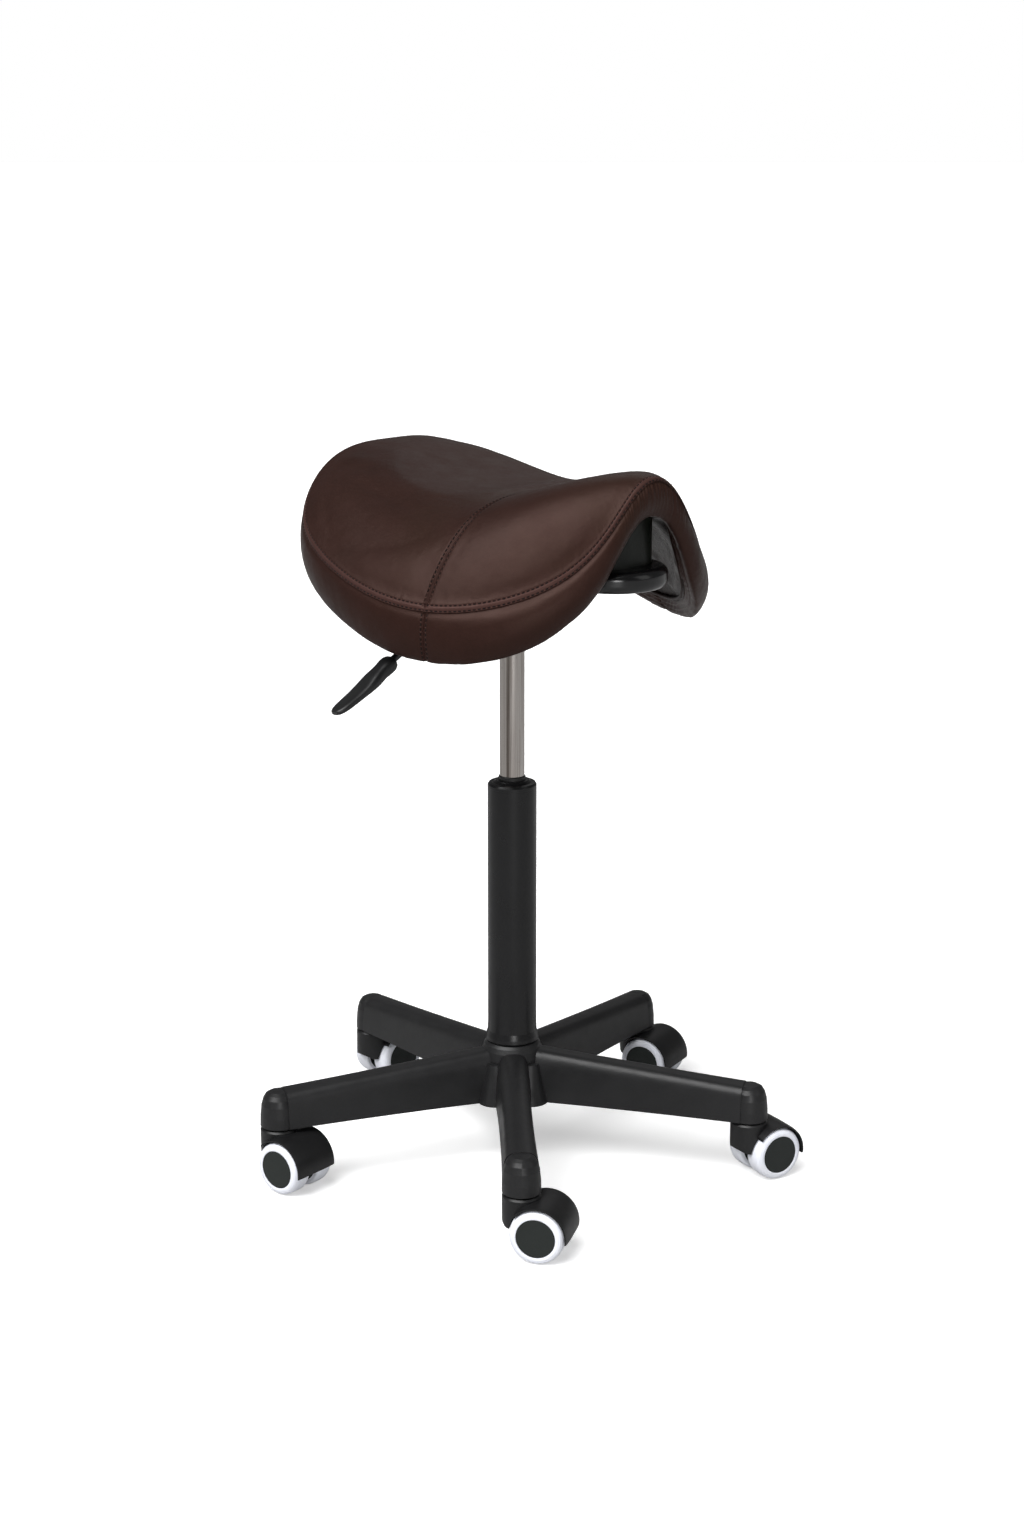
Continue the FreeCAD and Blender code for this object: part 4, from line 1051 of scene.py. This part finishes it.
def wood(name, board=False):
    m = Mat(name)
    if board:
        tone = m.mix(m.map(m.noise(120.0, 5.0, 0.65), 0.3, 0.7, 0.0, 1.0), (0.0032, 0.0042, 0.0030), (0.0068, 0.0084, 0.0062))
        n = m.bump(m.noise(380.0, 4.0, 0.6), 0.0001, 0.5)
        m.set(color=tone, rough=0.40, spec=0.26, normal=n)
        return m.m
    ply = m.node("ShaderNodeTexWave", 0, props={"bands_direction": "Z"}, Vector=m.obj, Scale=95.0, Distortion=1.2, Detail=2.0)
    grain = m.noise(60.0, 5.0, 0.6, m.stretch(0.6, 6.0, 1.0))
    tone = m.mix(m.map(grain, 0.3, 0.7, 0.0, 1.0), (0.36, 0.23, 0.12), (0.20, 0.115, 0.055))
    tone = m.mix(m.map(ply, 0.45, 0.75, 0.0, 0.45), tone, (0.12, 0.066, 0.032))
    m.set(color=tone, rough=0.62, spec=0.3, normal=m.bump(grain, 0.0002, 0.4))
    return m.m


def tread_material():
    m = Mat("tread")
    cloudy = m.noise(32.0, 4.0, 0.6)
    fine = m.noise(700.0, 2.0, 0.6)
    dust = m.noise(90.0, 5.0, 0.7)
    tone = m.mix(m.map(cloudy, 0.3, 0.7, 0.0, 1.0), (0.82, 0.84, 0.92), (0.88, 0.895, 0.95))
    tone = m.mix(m.map(dust, 0.58, 0.78, 0.0, 0.35), tone, (0.56, 0.56, 0.60))
    n = m.bump(m.noise(60.0, 3.0, 0.5), 0.0003, 0.35)
    n = m.bump(fine, 0.00005, 0.35, n)
    m.set(color=tone, rough=m.map(dust, 0.3, 0.7, 0.34, 0.50), spec=0.42, normal=n)
    return m.m


def thread_material():
    m = Mat("thread")
    ply = m.node("ShaderNodeTexWave", 0, props={"bands_direction": "DIAGONAL"}, Vector=m.obj, Scale=900.0, Distortion=2.0, Detail=1.0)
    tone = m.mix(m.map(ply, 0.3, 0.7, 0.0, 1.0), (0.0016, 0.0008, 0.0007), (0.0048, 0.0024, 0.0020))
    m.set(color=tone, rough=0.60, spec=0.18, normal=m.bump(ply, 0.00008, 0.6))
    return m.m


LEATHER_M = leather("leather")
LINING_M = leather("leather_lining", False, 0.20, 0.24, 0.13)
PIPING_M = leather("leather_piping", False, 0.45, 0.40, 0.12)
THREAD_M = thread_material()


def foam_material():
    m = Mat("foam")
    cells = m.voronoi(420.0, "F1")
    tone = m.mix(m.map(cells, 0.1, 0.7, 0.0, 1.0), (0.62, 0.50, 0.30), (0.74, 0.63, 0.42))
    m.set(color=tone, rough=0.9, spec=0.15, normal=m.bump(cells, 0.0006, 0.7))
    return m.m


BASE = plastic("base_nylon", (0.0090, 0.0090, 0.0095), 0.40, 620.0, 0.00009, 0.36, 0.3, strength=0.55, wear=0.05)
HOOD = plastic("hood_nylon", (0.0058, 0.0058, 0.0062), 0.40, 760.0, 0.00007, 0.38, 0.3, strength=0.5, wear=0.05)
COVER = plastic("cover_plastic", (0.0050, 0.0050, 0.0055), 0.30, 900.0, 0.00004, 0.34, 0.25, strength=0.4)
CORE = plastic("wheel_nylon", (0.0100, 0.0125, 0.0115), 0.46, 800.0, 0.00006, 0.34, 0.35, strength=0.5, wear=0.12)
GRIP = plastic("grip_plastic", (0.0056, 0.0058, 0.0060), 0.34, 850.0, 0.00006, 0.42, 0.25, strength=0.5)
BUSH = plastic("bush_plastic", (0.0120, 0.0120, 0.0125), 0.42, 850.0, 0.00005, 0.36, 0.2)
GLOSS = plastic("gloss_black", (0.0032, 0.0032, 0.0036), 0.20, 500.0, 0.00002, 0.50, 0.2, strength=0.2)
BLACK_STEEL = plastic("black_steel", (0.0075, 0.0075, 0.0080), 0.36, 480.0, 0.00010, 0.5, 0.3, strength=0.5)


def banded_reflection_chrome():
    """hard chrome coloured with long soft bands of painted reflection, light and dark around the tube and running up
    and down it, with fine streaks
    """
    m = Mat("lift_chrome")
    around = m.node("ShaderNodeVectorMath", props={"operation": "NORMALIZE"}, i0=m.stretch(1.0, 1.0, 0.0))
    path = m.node("ShaderNodeVectorMath", props={"operation": "ADD"}, i0=around, i1=m.stretch(0.0, 0.0, 0.55))
    reflection_bands = m.noise(1.9, 2.0, 0.45, path)
    thin = m.noise(9.0, 4.0, 0.6, path)
    hair = m.noise(60.0, 3.0, 0.6, path)
    mixd = m.math("ADD", m.math("MULTIPLY", reflection_bands, 0.62), m.math("ADD", m.math("MULTIPLY", thin, 0.30), m.math("MULTIPLY", hair, 0.08)))
    # painted reflection: the ramp turns the bands into light and dark stripes around the tube
    tone = m.ramp(mixd, (0.36, (0.11, 0.094, 0.082)), (0.45, (0.27, 0.24, 0.22)), (0.51, (0.46, 0.43, 0.405)), (0.58, (0.33, 0.30, 0.28)), (0.66, (0.66, 0.64, 0.62)))
    spots = m.noise(140.0, 5.0, 0.7)
    tone = m.mix(m.map(spots, 0.62, 0.75, 0.0, 0.35), tone, (0.10, 0.085, 0.07))
    n = m.bump(hair, 0.00003, 0.35)
    m.set(color=tone, metal=1.0, rough=m.map(thin, 0.3, 0.7, 0.10, 0.24), normal=n)
    return m.m


CHROME = banded_reflection_chrome()
ZINC = metal("zinc_steel", (0.56, 0.56, 0.55), 0.30, 0.0, 0.25)
BRIGHT = metal("bright_steel", (0.60, 0.59, 0.58), 0.22, 0.0, 0.2)
BOARD = wood("board_black", True)
PLY = wood("plywood")
TREAD = tread_material()
FOAM = foam_material()

CAD_LOOK = {
    "star_base": BASE, "caster_stems": ZINC, "stand_tube": BLACK_STEEL, "guide_bush": BUSH, "dust_cover": COVER, "cover_cap": COVER,
    "thrust_bearing": BRIGHT, "piston_rod": CHROME, "retaining_clip": ZINC, "pressure_tube": CHROME, "seat_mechanism": BLACK_STEEL,
    "seat_pan": GLOSS, "seat_bolts": ZINC, "seat_washers": ZINC, "tee_nuts": ZINC, "support_block": BOARD, "seat_shell": PLY,
    "lever_rod": BLACK_STEEL, "lever_grip": GRIP, "valve_pin": BRIGHT,
}
for k_ in ("f", "l", "r", "bl", "br"):
    CAD_LOOK["caster_%s_housing" % k_] = HOOD
    CAD_LOOK["caster_%s_axle" % k_] = ZINC
    for w_ in "ab":
        CAD_LOOK["caster_%s_core_%s" % (k_, w_)] = CORE
        CAD_LOOK["caster_%s_tread_%s" % (k_, w_)] = TREAD
for name_, mat_ in CAD_LOOK.items():
    o_ = nodes[name_]
    o_.data.materials.clear()
    o_.data.materials.append(mat_)

for o_, mat_, slot_ in ((front_top, LEATHER_M, "cover_leather"), (rear_top, LEATHER_M, "cover_leather"), (front_band, LEATHER_M, "cover_leather"),
                        (rear_band, LEATHER_M, "cover_leather"), (lining, LINING_M, "lining_leather"), (piping, PIPING_M, "cover_leather"),
                        (pad, FOAM, "foam"), (st_top, THREAD_M, "cover_leather"), (st_low, THREAD_M, "cover_leather"), (st_cf, THREAD_M, "cover_leather"),
                        (st_cr, THREAD_M, "cover_leather"), (st_b, THREAD_M, "cover_leather")):
    o_.data.materials.clear()
    o_.data.materials.append(mat_)
    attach(o_, "seat")
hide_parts("cover_top_front")
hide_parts("cover_top_rear")
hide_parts("cover_band_front")
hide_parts("cover_band_rear")
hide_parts("cover_lining")
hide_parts("seat_foam")


# ------------------------------------------------------------------ floor, light
fm = Mat("floor")
seen = fm.t.nodes.new("ShaderNodeLightPath").outputs["Is Camera Ray"]
paper = fm.mix(fm.map(fm.noise(3.0, 3.0), 0.3, 0.7, 0.0, 1.0), (0.93, 0.93, 0.93), (0.95, 0.95, 0.95))
fm.set(color=fm.mix(seen, (0.44, 0.44, 0.44), paper), rough=0.75, spec=0.12, normal=fm.bump(fm.noise(220.0, 3.0), 0.0001, 0.2))
fm.b.inputs["Emission Color"].default_value = (1.0, 1.0, 1.0, 1.0)
fm.put(fm.b.inputs["Emission Strength"], fm.math("MULTIPLY", seen, 0.42))
floor = new_mesh("floor", [(-40000, -40000, -0.3), (40000, -40000, -0.3), (40000, 40000, -0.3), (-40000, 40000, -0.3)], [(0, 1, 2, 3)], material=fm.m)

wd = bpy.data.worlds.new("studio")
wd.use_nodes = True
scene.world = wd
wt = wd.node_tree
wt.nodes.clear()
tc = wt.nodes.new("ShaderNodeTexCoord")
sep = wt.nodes.new("ShaderNodeSeparateXYZ")
mr = wt.nodes.new("ShaderNodeMapRange")
bg = wt.nodes.new("ShaderNodeBackground")
wo = wt.nodes.new("ShaderNodeOutputWorld")
wt.links.new(tc.outputs["Generated"], sep.inputs[0])
wt.links.new(sep.outputs["Z"], mr.inputs["Value"])
mr.interpolation_type = "SMOOTHSTEP"
mr.inputs["From Min"].default_value = 0.0
mr.inputs["From Max"].default_value = 0.5
mr.inputs["To Min"].default_value = 0.15
mr.inputs["To Max"].default_value = 0.13
lp = wt.nodes.new("ShaderNodeLightPath")
mx = wt.nodes.new("ShaderNodeMix")
mx.data_type = "FLOAT"
mx.inputs["B"].default_value = 1.0
wt.links.new(lp.outputs["Is Camera Ray"], mx.inputs["Factor"])
wt.links.new(mr.outputs[0], mx.inputs["A"])
bg.inputs["Color"].default_value = (1.0, 1.0, 1.0, 1.0)
wt.links.new(mx.outputs[0], bg.inputs["Strength"])
wt.links.new(bg.outputs[0], wo.inputs[0])


def softbox(name, at, target, size, power, size_y=None):
    d = bpy.data.lights.new(name, "AREA")
    d.shape = "RECTANGLE"
    d.size = size
    d.size_y = size_y or size
    d.energy = power
    o = bpy.data.objects.new(name, d)
    scene.collection.objects.link(o)
    o.location = at
    o.rotation_euler = (Vector(target) - Vector(at)).to_track_quat("-Z", "Y").to_euler()
    return o


sun_d = bpy.data.lights.new("sky_panel", "SUN")
sun_d.energy = 4.1
sun_d.angle = math.radians(52.0)
sun = bpy.data.objects.new("sky_panel", sun_d)
scene.collection.objects.link(sun)
sun.rotation_euler = Vector((0.42, 0.50, -1.0)).to_track_quat("-Z", "Y").to_euler()
softbox("side", (2.3, -0.9, 1.7), (0, 0, 0.5), 1.2, 5.0, 1.8)
softbox("back", (0.6, 2.4, 2.4), (0, 0, 0.5), 1.6, 3.0)
softbox("front", (0.5, -3.3, 0.75), (0, 0, 0.6), 0.9, 21.0, 0.6)

scene.view_settings.view_transform = "Standard"
scene.view_settings.look = "None"
